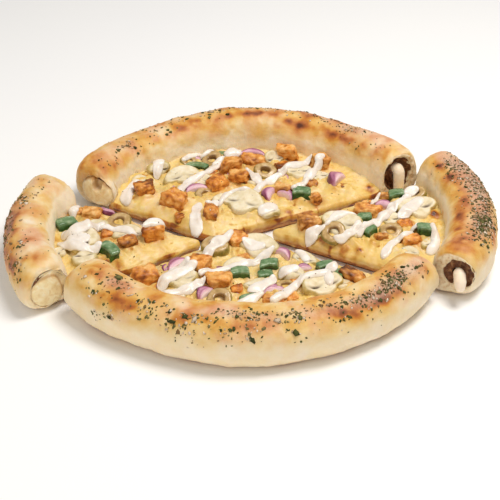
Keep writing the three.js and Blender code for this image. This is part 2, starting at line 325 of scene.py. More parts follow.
def add(tree, kind, inputs=(), stops=(), out=0, **settings):
    """Adds a node and gives back one of its outputs. Settings are its own fields, inputs hold values
    or other nodes' outputs, in order or by name or number, and stops are a colour ramp's places and
    hex colours (or greys)."""
    made = tree.nodes.new("ShaderNode" + kind)
    for key, value in settings.items():
        setattr(made, key, value)
    for key, value in inputs.items() if isinstance(inputs, dict) else enumerate(inputs):
        if isinstance(value, bpy.types.NodeSocket):
            tree.links.new(value, made.inputs[key])
        else:
            made.inputs[key].default_value = value
    if stops:
        elements = made.color_ramp.elements
        while len(elements) < len(stops):
            elements.new(0.5)
        for element, (place, colour) in zip(elements, stops):
            element.position = place
            element.color = rgb(colour) if isinstance(colour, str) else (colour,) * 3 + (1,)
    return made.outputs[out] if made.outputs else None


# Settings of a Mix node that blends the colours 6 and 7 by the share 0.
COLOURS = {"data_type": "RGBA", "out": 2}


def new_material(name, *marks):
    """An empty node material, its nodes, its object coordinates and its pieces' marks."""
    material = bpy.data.materials.new(name)
    material.use_nodes = True
    tree = material.node_tree
    tree.nodes.clear()
    read = [add(tree, "Attribute", attribute_name=mark, out="Fac") for mark in marks]
    return material, tree, add(tree, "TexCoord", out="Object"), *read


def finish(material, colour, rough, relief, ior, shine, soft=None, coat=None, invert=False):
    """Ends a material with its shader: the relief's height, bump strength and depth in mm, how far
    light soaks in (weight, reach of red, green and blue, mm), and a wet coat (weight, roughness)."""
    tree = material.node_tree
    height, strength, depth = relief
    bump = add(tree, "Bump", {"Height": height, "Strength": strength, "Distance": depth * MM},
               invert=invert)
    sockets = {"Base Color": colour, "Roughness": rough, "IOR": ior, "Specular IOR Level": shine,
               "Normal": bump}
    if soft:
        sockets.update({"Subsurface Weight": soft[0], "Subsurface Radius": soft[1],
                        "Subsurface Scale": soft[2] * MM})
    if coat:
        sockets.update({"Coat Weight": coat[0], "Coat Roughness": coat[1]})
    add(tree, "OutputMaterial", {"Surface": add(tree, "BsdfPrincipled", sockets)})
    return material


def bake_dough():
    """White bread dough, oven baked and oiled: matt cream where it stayed in shade, blotched gold,
    orange and brown on top, with a finely wrinkled skin and an open pale crumb where cut."""
    material, tree, place, bake, blush, crumb, dust = new_material(
        "baked_bread_dough", "bake", "blush", "crumb", "dust")
    # Blotches of 7 mm and freckles of 1.6 mm, as an egg-washed skin browns.
    blotch = add(tree, "TexNoise", lumps(place, 7, 3))
    freckle = add(tree, "TexNoise", lumps(place, 1.6, 2))
    wave = add(tree, "Math", (blotch, 0.34, -0.17), operation="MULTIPLY_ADD")
    fine = add(tree, "Math", (freckle, 0.16, wave), operation="MULTIPLY_ADD")
    part = add(tree, "Math", (bake, 0.75, 0.25), operation="MULTIPLY_ADD")
    shift = add(tree, "Math", (fine, part, bake), operation="MULTIPLY_ADD")
    level = add(tree, "Math", (shift, 0.07), operation="SUBTRACT")
    gold = add(tree, "ValToRGB", (level,), stops=[
        (0.0, "#f3e1bf"), (0.11, "#eed39f"), (0.25, "#e8c37f"), (0.42, "#dfad58"),
        (0.58, "#cf8a34"), (0.74, "#b3662a"), (0.9, "#82431a"), (1.0, "#5c2c12")])
    peach = add(tree, "ValToRGB", (level,), stops=[
        (0.0, "#f3e3ca"), (0.15, "#edd0a9"), (0.32, "#e6b890"), (0.5, "#d99a6c"),
        (0.68, "#bd7546"), (0.85, "#8e502c"), (1.0, "#5c2c16")])
    # Whether a spot bakes golden or rosy changes over 13 mm.
    hue = add(tree, "TexNoise", lumps(place, 13, 4))
    sway = add(tree, "Math", (hue, 3.2, -1.45), operation="MULTIPLY_ADD")
    rosy = add(tree, "Math", (blush, 1.3, sway), operation="MULTIPLY_ADD", use_clamp=True)
    pink = add(tree, "Mix", {0: rosy, 6: gold, 7: peach}, **COLOURS)
    # Ground spice: specks of 0.7 mm, 1.1 mm apart, on a greyish film.
    speck = add(tree, "TexVoronoi", lumps(place, 1.1))
    cover = add(tree, "ValToRGB", (speck,), stops=[(0.22, 1.0), (0.42, 0.0)])
    thick = add(tree, "Math", (cover, dust), operation="MULTIPLY")
    film = add(tree, "Math", (dust, 0.66), operation="MULTIPLY")
    grey = add(tree, "Mix", {0: film, 6: pink, 7: rgb("#c09a86")}, **COLOURS)
    dark = add(tree, "Math", (thick, 0.6), operation="MULTIPLY")
    spiced = add(tree, "Mix", {0: dark, 6: grey, 7: rgb("#6d5a3c")}, **COLOURS)
    holes = add(tree, "TexNoise", lumps(place, 2.2, 4))
    inside = add(tree, "ValToRGB", (holes,), stops=[
        (0.3, "#c9a277"), (0.48, "#e6cfa8"), (0.7, "#f2e3c4")])
    colour = add(tree, "Mix", {0: crumb, 6: spiced, 7: inside}, **COLOURS)
    rough = add(tree, "MapRange", {"Value": freckle, "To Min": 0.42, "To Max": 0.62})
    # Skin wrinkles of 2.4 mm and pores of 0.8 mm.
    wrinkle = add(tree, "TexNoise", {**lumps(place, 2.4, 5), "Roughness": 0.6})
    pores = add(tree, "TexNoise", lumps(place, 0.8, 2))
    relief = add(tree, "Math", (pores, 0.35, wrinkle), operation="MULTIPLY_ADD")
    return finish(material, colour, rough, (relief, 0.55, 0.7), 1.45, 0.4,
                  soft=(0.12, (1.0, 0.55, 0.3), 2.5))


def melt_cheese():
    """Mozzarella, melted and set: warm yellow and a little oily, paler where thick with a rosy
    painted sheen, golden to brown blisters, and a lip darker towards its foot, partly baked and
    partly painted shade."""
    material, tree, place, toast, oil = new_material("melted_mozzarella", "toast", "oil")
    # Strings and clots of 5 mm, freckles of 1.2 mm.
    clot = add(tree, "TexNoise", {**lumps(place, 5, 4), "Distortion": 0.6})
    freckle = add(tree, "TexNoise", lumps(place, 1.2, 2))
    wave = add(tree, "Math", (clot, 0.3, -0.15), operation="MULTIPLY_ADD")
    fine = add(tree, "Math", (freckle, 0.12, wave), operation="MULTIPLY_ADD")
    level = add(tree, "Math", (fine, toast), operation="ADD")
    gold = add(tree, "ValToRGB", (level,), stops=[
        (0.0, "#f3dfa6"), (0.16, "#ebcc7e"), (0.32, "#e3bd66"), (0.5, "#cf9a42"),
        (0.68, "#b06a28"), (0.85, "#84441b"), (1.0, "#572a12")])
    # Paler clots of 9 mm where the cheese stayed thick; their rosy tint is a painted sheen.
    thick = add(tree, "TexNoise", {**lumps(place, 9, 5), "Roughness": 0.6})
    pale_clots_and_sheen = add(tree, "ValToRGB", (thick,), stops=[(0.5, 0.0), (0.66, 0.75)])
    raw = add(tree, "Math", (level, -1.7, 1.0), operation="MULTIPLY_ADD", use_clamp=True)
    pale = add(tree, "Math", (pale_clots_and_sheen, raw), operation="MULTIPLY")
    clotted_and_sheen = add(tree, "Mix", {0: pale, 6: gold, 7: rgb("#efd3b0")}, **COLOURS)
    # Spiced oil that ran out of the chicken.
    colour = add(tree, "Mix", {0: oil, 6: clotted_and_sheen, 7: rgb("#c9792f")}, **COLOURS)
    rough = add(tree, "MapRange", {"Value": clot, "To Min": 0.26, "To Max": 0.5})
    skin = add(tree, "TexNoise", lumps(place, 2, 4))
    return finish(material, colour, rough, (skin, 0.4, 0.6), 1.45, 0.45,
                  soft=(0.2, (1.0, 0.7, 0.3), 2.5))


def mince_kebab():
    """Minced, seasoned kebab meat, steamed in the crust: coarse brown grains with painted shade in
    the gaps between them, and a damp shine."""
    material, tree, place, pit = new_material("minced_kebab_meat", "pit")
    # Mince grains of 1.8 mm.
    mince = add(tree, "TexVoronoi", lumps(place, 1.8))
    tint = add(tree, "TexNoise", lumps(place, 2.5, 4))
    meat = add(tree, "ValToRGB", (tint,), stops=[(0.3, "#5a331b"), (0.5, "#895634"), (0.7, "#b9885a")])
    # Painted shade: near black where the grains part and where the mince sinks.
    edge = add(tree, "Math", (mince, 0.5), operation="MULTIPLY")
    depth = add(tree, "Math", (edge, pit), operation="MAXIMUM")
    colour = add(tree, "Mix", {0: depth, 6: meat, 7: rgb("#35170c")}, **COLOURS)
    return finish(material, colour, 0.5, (mince, 0.8, 0.6), 1.42, 0.5, invert=True)


def set_core_cheese():
    """Cream cheese mozzarella rolled into the crust: ivory, soft and dense, faintly streaked, with
    a brown seam where it touched the meat, and painted shade in notches, creases and gaps."""
    material, tree, place, seam, milk = new_material("rolled_cheese_core", "seam", "milk")
    # Streaks of 4 mm.
    streak = add(tree, "TexNoise", {**lumps(place, 4, 4), "Distortion": 1.2})
    pale = add(tree, "ValToRGB", (streak,), stops=[
        (0.3, "#e9cd96"), (0.5, "#f6e1b0"), (0.7, "#fdf0cf")])
    white = add(tree, "Mix", {0: milk, 6: pale, 7: rgb("#f6e4d0")}, **COLOURS)
    # Brown seam where it touched the meat, and painted shade in notches, creases and the gap round each
    # disc.
    colour = add(tree, "Mix", {0: seam, 6: white, 7: rgb("#a46c22")}, **COLOURS)
    return finish(material, colour, 0.42, (streak, 0.5, 0.8), 1.45, 0.45,
                  soft=(0.2, (1.0, 0.8, 0.5), 2.5))


def roast_chicken():
    """Chicken breast, cubed and spice roasted: orange flesh in fibres, tan where less spice took,
    browned on corners and on one seared side, with painted shade in its pits, fibre grooves and
    underside, and a thin shine of oil."""
    material, tree, place, char, tan = new_material("spiced_roast_chicken", "char", "tan")
    # Fibre bundles of 2.6 mm and spice grains of 0.8 mm.
    bundle = add(tree, "TexNoise", lumps(place, 2.6, 4))
    spice = add(tree, "TexNoise", lumps(place, 0.8, 2))
    wave = add(tree, "Math", (bundle, 0.5, -0.25), operation="MULTIPLY_ADD")
    fine = add(tree, "Math", (spice, 0.24, wave), operation="MULTIPLY_ADD")
    level = add(tree, "Math", (fine, char), operation="ADD")
    spiced = add(tree, "ValToRGB", (level,), stops=[
        (0.0, "#fcc880"), (0.2, "#f2a84c"), (0.4, "#de8a30"), (0.6, "#bb681e"),
        (0.8, "#8a4812"), (1.0, "#4c2509")])
    plain = add(tree, "ValToRGB", (level,), stops=[
        (0.0, "#f2ca8a"), (0.2, "#dfa85e"), (0.4, "#c4853c"), (0.6, "#9c6026"),
        (0.8, "#703f15"), (1.0, "#45240c")])
    colour = add(tree, "Mix", {0: tan, 6: spiced, 7: plain}, **COLOURS)
    relief = add(tree, "Math", (spice, 0.4, bundle), operation="MULTIPLY_ADD")
    return finish(material, colour, 0.42, (relief, 0.7, 0.6), 1.45, 0.5,
                  soft=(0.08, (1.0, 0.4, 0.2), 1.5))


def slice_mushroom():
    """White button mushroom, sliced and baked: ivory flesh, a tan to olive skin round the cap, and
    grey brown gills."""
    material, tree, place, gill, skin = new_material("sliced_button_mushroom", "gill", "skin")
    # Damp patches of 4 mm, fibres of 1.2 mm.
    damp = add(tree, "TexNoise", lumps(place, 4, 4))
    flesh = add(tree, "ValToRGB", (damp,), stops=[
        (0.28, "#d9c89e"), (0.5, "#e8dab8"), (0.7, "#f1e7cf")])
    rind = add(tree, "ValToRGB", (damp,), stops=[(0.3, "#b19a58"), (0.5, "#ccb776"), (0.7, "#e0d0a0")])
    cap = add(tree, "Mix", {0: skin, 6: flesh, 7: rind}, **COLOURS)
    colour = add(tree, "Mix", {0: gill, 6: cap, 7: rgb("#5c4430")}, **COLOURS)
    fibre = add(tree, "TexNoise", lumps(place, 1.2, 4))
    return finish(material, colour, 0.4, (fibre, 0.4, 0.4), 1.4, 0.45, soft=(0.15, (1.0, 0.8, 0.5), 2))


def stone_olive():
    """Green olive, brined and sliced: waxy olive skin with a wet shine, cream-green flesh and a
    brown rim round the hole that is painted shade of the hole."""
    material, tree, place, skin, hole = new_material("brined_green_olive", "skin", "hole")
    # Mottles of 3 mm.
    mottle = add(tree, "TexNoise", lumps(place, 3, 4))
    flesh = add(tree, "ValToRGB", (mottle,), stops=[
        (0.3, "#a78852"), (0.5, "#c19f68"), (0.7, "#d6bb8c")])
    wax = add(tree, "ValToRGB", (mottle,), stops=[(0.3, "#6c6222"), (0.5, "#918034"), (0.7, "#b49a50")])
    body = add(tree, "Mix", {0: skin, 6: flesh, 7: wax}, **COLOURS)
    # Painted shade: the hole's wall goes brown.
    colour = add(tree, "Mix", {0: hole, 6: body, 7: rgb("#7d5630")}, **COLOURS)
    return finish(material, colour, 0.28, (mottle, 0.3, 0.4), 1.45, 0.5, coat=(0.25, 0.15))


def dice_pepper():
    """Green bell pepper, diced: dark glossy skin, and a paler grey-green top that is a painted
    highlight.
    """
    material, tree, place, skin = new_material("diced_green_pepper", "skin")
    # Veins of 3 mm.
    vein = add(tree, "TexNoise", lumps(place, 3, 4))
    # The pale ramp colours the top face as a painted highlight; the dark ramp is the skin.
    painted_highlight_top = add(tree, "ValToRGB", (vein,), stops=[(0.3, "#4c7040"), (0.5, "#719062"), (0.7, "#a0b38e")])
    peel = add(tree, "ValToRGB", (vein,), stops=[(0.3, "#16330f"), (0.5, "#244e18"), (0.7, "#3f7029")])
    colour = add(tree, "Mix", {0: skin, 6: painted_highlight_top, 7: peel}, **COLOURS)
    return finish(material, colour, 0.25, (vein, 0.3, 0.4), 1.45, 0.5, coat=(0.3, 0.12))


def cut_onion():
    """Red onion petals, softened in the oven: purple skin that fades to lilac and white through the
    thickness, in fine parallel veins."""
    material, tree, place, skin = new_material("softened_red_onion", "skin")
    # Veins of 1 mm.
    vein = add(tree, "TexNoise", lumps(place, 1, 2))
    wave = add(tree, "Math", (vein, 0.24, -0.12), operation="MULTIPLY_ADD")
    level = add(tree, "Math", (wave, skin), operation="ADD")
    colour = add(tree, "ValToRGB", (level,), stops=[
        (0.0, "#f1d9d8"), (0.3, "#dfb2c0"), (0.55, "#bd7f9a"), (0.8, "#8d4868"), (1.0, "#5c2643")])
    return finish(material, colour, 0.3, (vein, 0.35, 0.3), 1.42, 0.5,
                  soft=(0.12, (1.0, 0.5, 0.7), 1.5))


def whip_sauce():
    """Garlic mayonnaise, piped and settled: thick glossy off-white with faint warm streaks."""
    material, tree, place = new_material("piped_garlic_mayonnaise")
    # Streaks of 6 mm and ripples of 2 mm.
    streak = add(tree, "TexNoise", lumps(place, 6, 3))
    colour = add(tree, "ValToRGB", (streak,), stops=[
        (0.3, "#e8ddd0"), (0.5, "#f1e9df"), (0.7, "#f8f3ec")])
    ripple = add(tree, "TexNoise", lumps(place, 2, 2))
    return finish(material, colour, 0.25, (ripple, 0.25, 0.4), 1.47, 0.5,
                  soft=(0.2, (1.0, 0.9, 0.7), 1.5))


def dry_herbs():
    """Dried oregano and parsley, rubbed and oven toasted: matt flakes from green black to olive
    and straw, each flake of one tone."""
    material, tree, place, tone = new_material("dried_green_herbs", "tone")
    colour = add(tree, "ValToRGB", (tone,), stops=[
        (0.0, "#353a14"), (0.24, "#4e5224"), (0.42, "#686636"), (0.58, "#80764a"),
        (0.72, "#7c5833"), (0.86, "#b89c78"), (1.0, "#ead9c4")])
    # Leaf ribs of 0.5 mm.
    rib = add(tree, "TexNoise", lumps(place, 0.5, 2))
    return finish(material, colour, 0.75, (rib, 0.4, 0.2), 1.45, 0.3)


def paint_floor():
    """Plain matt painted board, nearly white."""
    material, tree, place = new_material("matt_white_board")
    tint = add(tree, "TexNoise", lumps(place, 1000 / 3, 2))
    colour = add(tree, "ValToRGB", (tint,), stops=[(0.3, "#fbfcfe"), (0.7, "#fdfefe")])
    shader = add(tree, "BsdfPrincipled", {
        "Base Color": colour, "Roughness": 0.8, "Specular IOR Level": 0.2})
    add(tree, "OutputMaterial", {"Surface": shader})
    return material


# ---------------------------------------------------------------- camera, floor and light

def aim(thing, start, target):
    """Stands a camera or lamp at start, facing target (metres)."""
    away = np.array(start, float) - target
    flat = math.hypot(away[0], away[1])
    thing.location = start
    thing.rotation_euler = (math.atan2(flat, away[2]), 0, math.atan2(away[0], -away[1]))


ELEVATION = math.radians(33.6)
DISTANCE = 0.693
camera = bpy.data.objects.new("camera", bpy.data.cameras.new("camera"))
camera.data.lens = 78.34
camera.data.sensor_width = 36
camera.data.clip_start, camera.data.clip_end = 0.01, 20
TARGET = np.array([-0.0002, -0.0012, 0.0])
aim(camera, TARGET + DISTANCE * np.array([0, -math.cos(ELEVATION), math.sin(ELEVATION)]), TARGET)
camera.data.shift_x = -0.002
camera.data.shift_y = -0.0098
bpy.context.scene.collection.objects.link(camera)
bpy.context.scene.camera = camera

# A broad soft box high on the right and a weaker one in front.
LAMPS = {
    "key": ((0.3, 0.0, 0.98), 0.5, 7.8, "#fffaf4"),
    "front_fill": ((-0.6, -0.98, 0.5), 0.9, 2.9, "#fffaf4"),
}
for lamp_name, (spot, size, power, tint) in LAMPS.items():
    lamp = bpy.data.objects.new(lamp_name, bpy.data.lights.new(lamp_name, "AREA"))
    lamp.data.shape = "DISK"
    lamp.data.size = size
    lamp.data.energy = power
    lamp.data.color = rgb(tint)[:3]
    aim(lamp, spot, np.zeros(3))
    bpy.context.scene.collection.objects.link(lamp)

world = bpy.data.worlds.new("room")
world.use_nodes = True
background = world.node_tree.nodes["Background"]
background.inputs["Color"].default_value = rgb("#fffcf8")
background.inputs["Strength"].default_value = 0.4
bpy.context.scene.world = world
bpy.context.scene.view_settings.view_transform = "Standard"

floor_mesh = bpy.data.meshes.new("floor")
floor_mesh.from_pydata([(-4, -4, 0), (4, -4, 0), (4, 4, 0), (-4, 4, 0)], [], [(0, 1, 2, 3)])
floor_mesh.materials.append(paint_floor())
floor = bpy.data.objects.new("floor", floor_mesh)
bpy.context.scene.collection.objects.link(floor)
floor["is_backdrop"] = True

DOUGH, CHEESE, KEBAB, CORE = bake_dough(), melt_cheese(), mince_kebab(), set_core_cheese()
SAUCE, HERB = whip_sauce(), dry_herbs()


# ---------------------------------------------------------------- dough

# Points round the rim's section, and along it the rows' spacing at this mean reach, in mm.
SECTION_POINTS = 132
ROW_SPACING = 0.85
MEAN_REACH = 118


def rim_section(count):
    """Section of the rim, evenly spaced round a squared oval: turn, radius and height. The foot
    stands on the floor with a soft corner, and its outer side curves in further underneath."""
    turn = np.linspace(0, 2 * np.pi, 2001)
    power = 2 / RIM_SQUARENESS
    out = np.sign(np.cos(turn)) * np.abs(np.cos(turn)) ** power
    up = np.sign(np.sin(turn)) * np.abs(np.sin(turn)) ** power
    radius = RIM_CENTRE + out * RIM_WIDTH / 2
    below = BELLY_DEPTH - 4.6 * ease(out, -0.2, 0.6)
    height = BELLY_HEIGHT + up * np.where(up > 0, RIM_HEIGHT - BELLY_HEIGHT, below)
    height = np.maximum(0, 0.5 * (height + np.hypot(height, 1.6)) - 0.13)
    length = np.concatenate([[0], np.cumsum(np.hypot(np.diff(radius), np.diff(height)))])
    even = np.linspace(0, length[-1], count, endpoint=False)
    return tuple(np.interp(even, length, values) for values in (turn, radius, height))


def end_distance(name, bearing):
    """Millimetres from each of a piece's two cut planes to the rim's middle at these bearings."""
    tip, first, last, _ = PIECES[name]
    x, y = on_ray(name, bearing, RIM_CENTRE)
    reach = np.hypot(x - tip[0], y - tip[1])
    return (reach * np.sin(np.radians(np.minimum(bearing - first, 90))),
            reach * np.sin(np.radians(np.minimum(last - bearing, 90))))


def filling_place(name, bearing, rho, turn):
    """Radius and height of a point of the filling ring at rho from its centre line: a circle that
    each end stretches and lifts, over its last dozen millimetres."""
    near = [hump(np.maximum(s, 0), 0, 11) for s in end_distance(name, bearing)]
    shapes = [np.array(ENDS[name, k][5:]) - (1, 1, 0, 0) for k in (0, 1)]
    wide, tall, up, out = (sum(n * s[i] for n, s in zip(near, shapes)) for i in range(4))
    radius = FILLING_RING + out + rho * np.cos(turn) * (1 + wide)
    return radius, FILLING_HEIGHT + up + rho * np.sin(turn) * (1 + tall)


def rim_rows(name):
    """Bearings of a rim's rows: close together over each rounded end, even between."""
    tip, first, last, _ = PIECES[name]
    starts = []
    for k, cut in enumerate((first, last)):
        length = ENDS[name, k][0]
        x, y = on_ray(name, cut, RIM_CENTRE)
        reach = math.hypot(x - tip[0], y - tip[1])
        starts.append(np.degrees(length * (1 - np.cos(np.linspace(0, np.pi / 2, 16))) / reach))
    low, high = first + starts[0], last - starts[1][::-1]
    count = int(np.radians(high[0] - low[-1]) * MEAN_REACH / ROW_SPACING)
    return np.concatenate([low, np.linspace(low[-1], high[0], count)[1:-1], high])


# Folds in the skin: bearing, turn round the section, half widths in degrees, depth in mm.
FOLDS = {
    "back": [
        (138, 165, 1.4, 30, 1.3), (133, 160, 1.1, 34, 1), (127.5, 170, 1.3, 26, 1.3),
        (121.5, 165, 1, 28, 1.1), (116, 172, 1.4, 20, 1), (105, 170, 2, 18, 0.6),
        (61, 160, 2.2, 28, 0.7), (40, 165, 1.6, 24, 0.8), (33, 160, 1.2, 30, 0.9),
    ],
    "left": [
        (160, 190, 6.5, 44, -5), (157, 130, 1.6, 40, 1.5), (161.5, 160, 1.5, 36, 1.4),
        (168, 165, 1.8, 30, 0.9), (210, 165, 1.6, 28, 1), (203, 172, 1.4, 22, 0.8),
    ],
    "front": [
        (221, 60, 1.5, 30, 0.8), (229, 100, 1.6, 24, 0.7), (300, -22, 2.6, 12, 1.2),
        (329, 60, 1.6, 40, 0.7), (246, -20, 2.4, 12, 0.8), (322, 170, 1.6, 24, 0.8),
    ],
    "right": [
        (24, 150, 1.6, 34, 0.9), (12, 165, 2, 26, 0.6), (-22, 150, 1.6, 34, 0.9),
        (-13, 168, 1.6, 24, 0.7),
    ],
}

# Browned patches: bearing, turn, half widths in degrees, strength (below 0, paler).
PATCHES = {
    "back": [
        (147.5, 95, 2.4, 40, 0.14), (146.5, 20, 4, 45, 0.25), (60, 175, 22, 30, 0.06),
        (118, 175, 10, 30, 0.06), (104, 112, 3.6, 15, 0.36), (98, 108, 3, 14, 0.26),
        (109, 122, 2, 10, 0.3), (115, 125, 2.2, 9, 0.28), (86, 108, 4.5, 12, 0.26),
        (76, 104, 7, 12, 0.34), (64, 118, 3, 12, 0.36), (60, 126, 3.4, 10, 0.3), (50, 120, 4, 11, 0.34),
        (44, 126, 3.6, 11, 0.3), (137, 100, 7, 30, -0.08), (143, 60, 6, 40, 0.04),
        (124, 118, 4, 20, 0.12), (68, 70, 20, 30, 0.1), (38, 132, 2, 10, 0.2),
    ],
    "left": [
        (210, 80, 3, 26, 0.12), (188, 8, 22, 26, 0.34), (186, 42, 14, 18, 0.26), (163, 88, 5, 22, 0.16),
        (200, 92, 7, 26, 0.2), (186, 64, 12, 17, 0.3), (205, 32, 6, 20, 0.34), (196, 20, 12, 16, 0.3),
        (170, 40, 10, 20, 0.2), (211, 80, 3, 22, 0.2), (180, 20, 9, 14, 0.3),
    ],
    "front": [
        (225, 78, 4.5, 18, 0.4), (228, -58, 8, 12, 0.5), (250, -68, 12, 10, 0.25),
        (222, 40, 4, 14, 0.2), (237, 50, 5.5, 14, 0.46), (247, 48, 3, 9, 0.12),
        (255.5, 54, 3.6, 13, 0.36), (244, 28, 10, 14, 0.12), (270, 55, 5, 12, 0.2),
        (299, 56, 5, 14, 0.3), (307, 50, 5, 16, 0.2), (315, 48, 5, 14, 0.22), (286, 52, 6, 12, 0.12),
        (279, 60, 4, 10, 0.12), (263, 66, 3, 10, 0.1), (327, 50, 4, 18, 0.12), (313, 60, 11, 24, 0.16),
    ],
    "right": [
        (18, 180, 10, 24, -0.1), (21, 116, 2.6, 11, 0.46), (14, 116, 2.2, 9, 0.3),
        (8, 112, 3.4, 9, 0.26), (-2, 108, 3.4, 9, 0.3), (-8, 124, 2.2, 8, 0.28),
        (-16, 120, 2.4, 9, 0.24), (-23, 98, 4.5, 24, 0.3), (-12, 30, 5, 16, 0.3),
        (27, 108, 2.6, 20, 0.22), (5, 182, 2, 12, 0.5), (-12, 112, 5, 9, 0.14),
    ],
}

# Rosy tan patches, and places dusted with ground spice, in the same terms.
BLUSHES = {
    "back": [
        (140, 104, 7, 26, 0.5), (122, 84, 9, 24, 0.35), (40, 78, 10, 36, 0.75), (62, 60, 16, 26, 0.4),
        (90, 60, 14, 26, 0.35),
    ],
    "left": [
        (162, 84, 6, 26, 0.5), (201, 96, 9, 30, 0.7), (186, 88, 6, 18, 0.3),
    ],
    "front": [
        (233, 88, 6, 18, 0.6), (262, 84, 12, 14, 0.4), (297, 70, 6, 16, 0.5), (316, 72, 5, 14, 0.4),
        (327, 74, 3.5, 14, 0.8),
    ],
    "right": [
        (8, 78, 16, 28, 0.8), (-14, 78, 8, 22, 0.6), (24, 80, 6, 30, 0.6),
    ],
}
DUSTINGS = {
    "back": [
        (45, 96, 5, 14, 0.7), (70, 62, 24, 16, 0.5), (128, 106, 4, 12, 0.4),
    ],
    "left": [
        (185, 50, 10, 16, 0.6), (174, 78, 5, 12, 0.5),
    ],
    "front": [
        (318, 68, 9, 20, 1), (308, 66, 6, 14, 0.8), (232, 88, 5, 14, 0.5), (290, 76, 16, 10, 0.4),
        (272, 80, 7, 9, 0.5),
    ],
    "right": [
        (8, 72, 14, 26, 1), (-12, 70, 8, 24, 1), (20, 92, 5, 18, 0.7),
    ],
}


def spots_on(rows, bearing, turn):
    """Sum of bell-shaped spots on a rim, each by its bearing and its turn round the section."""
    total = np.zeros(np.broadcast(bearing, turn).shape)
    for at, round_at, wide, tall, strength in rows:
        apart = np.degrees(np.angle(np.exp(1j * np.radians(turn - round_at))))
        total += strength * hump(bearing, at, wide) * hump(apart, 0, tall)
    return total


def bake_marks(name, grid, bearing, degrees, cover, last):
    """How a rim's skin is coloured: browned on top and where it met the tray, blotched and patched,
    paler on its inner wall, with rosy and dusted places and bare crumb on the cut faces."""
    up = ease(grid[..., 2], 15, 31)
    outer = ease(degrees, -60, -10) * (1 - ease(degrees, 200, 260))
    tone = 0.08 + {"left": 0.18, "back": 0.29}.get(name, 0.31) * up * outer
    tone = tone + 0.12 * grain(grid, 24, 7) * up + 0.16 * lumpy(grid, 10, 8) * (0.2 + up)
    patchy = {"back": 0.13, "left": 0.05, "front": 0.14, "right": 0.1}[name]
    tone = tone + patchy * up * (ease(lumpy(grid, 16, 14), 0.0, 0.24) - 0.4)
    tone = tone + spots_on(PATCHES[name], bearing, degrees) * (1 + 0.35 * grain(grid, 5, 9))
    tone = tone + 0.55 * (1 - ease(grid[..., 2], 0.2, 2.6 + 1.2 * grain(grid, 14, 10)))
    skinned = {"back": 0.8, "left": 0.55}.get(name, 0) * (bearing == last)
    walls = {"back": -0.11, "left": -0.38, "front": -0.1, "right": -0.16}[name]
    tone = tone + walls * ease(degrees, 130, 160) * (1 - ease(degrees, 210, 240))
    rosy, dusted = (spots_on(rows[name], bearing, degrees) for rows in (BLUSHES, DUSTINGS))
    return {
        "bake": np.clip(tone, 0, 1),
        "blush": np.clip(rosy, 0, 0.8) * up * (1 - cover),
        "dust": np.clip(dusted, 0, 1) * (1 - cover),
        "crumb": ease(cover - skinned + 0.05 * grain(grid, 5, 11), 0.02, 0.2),
    }


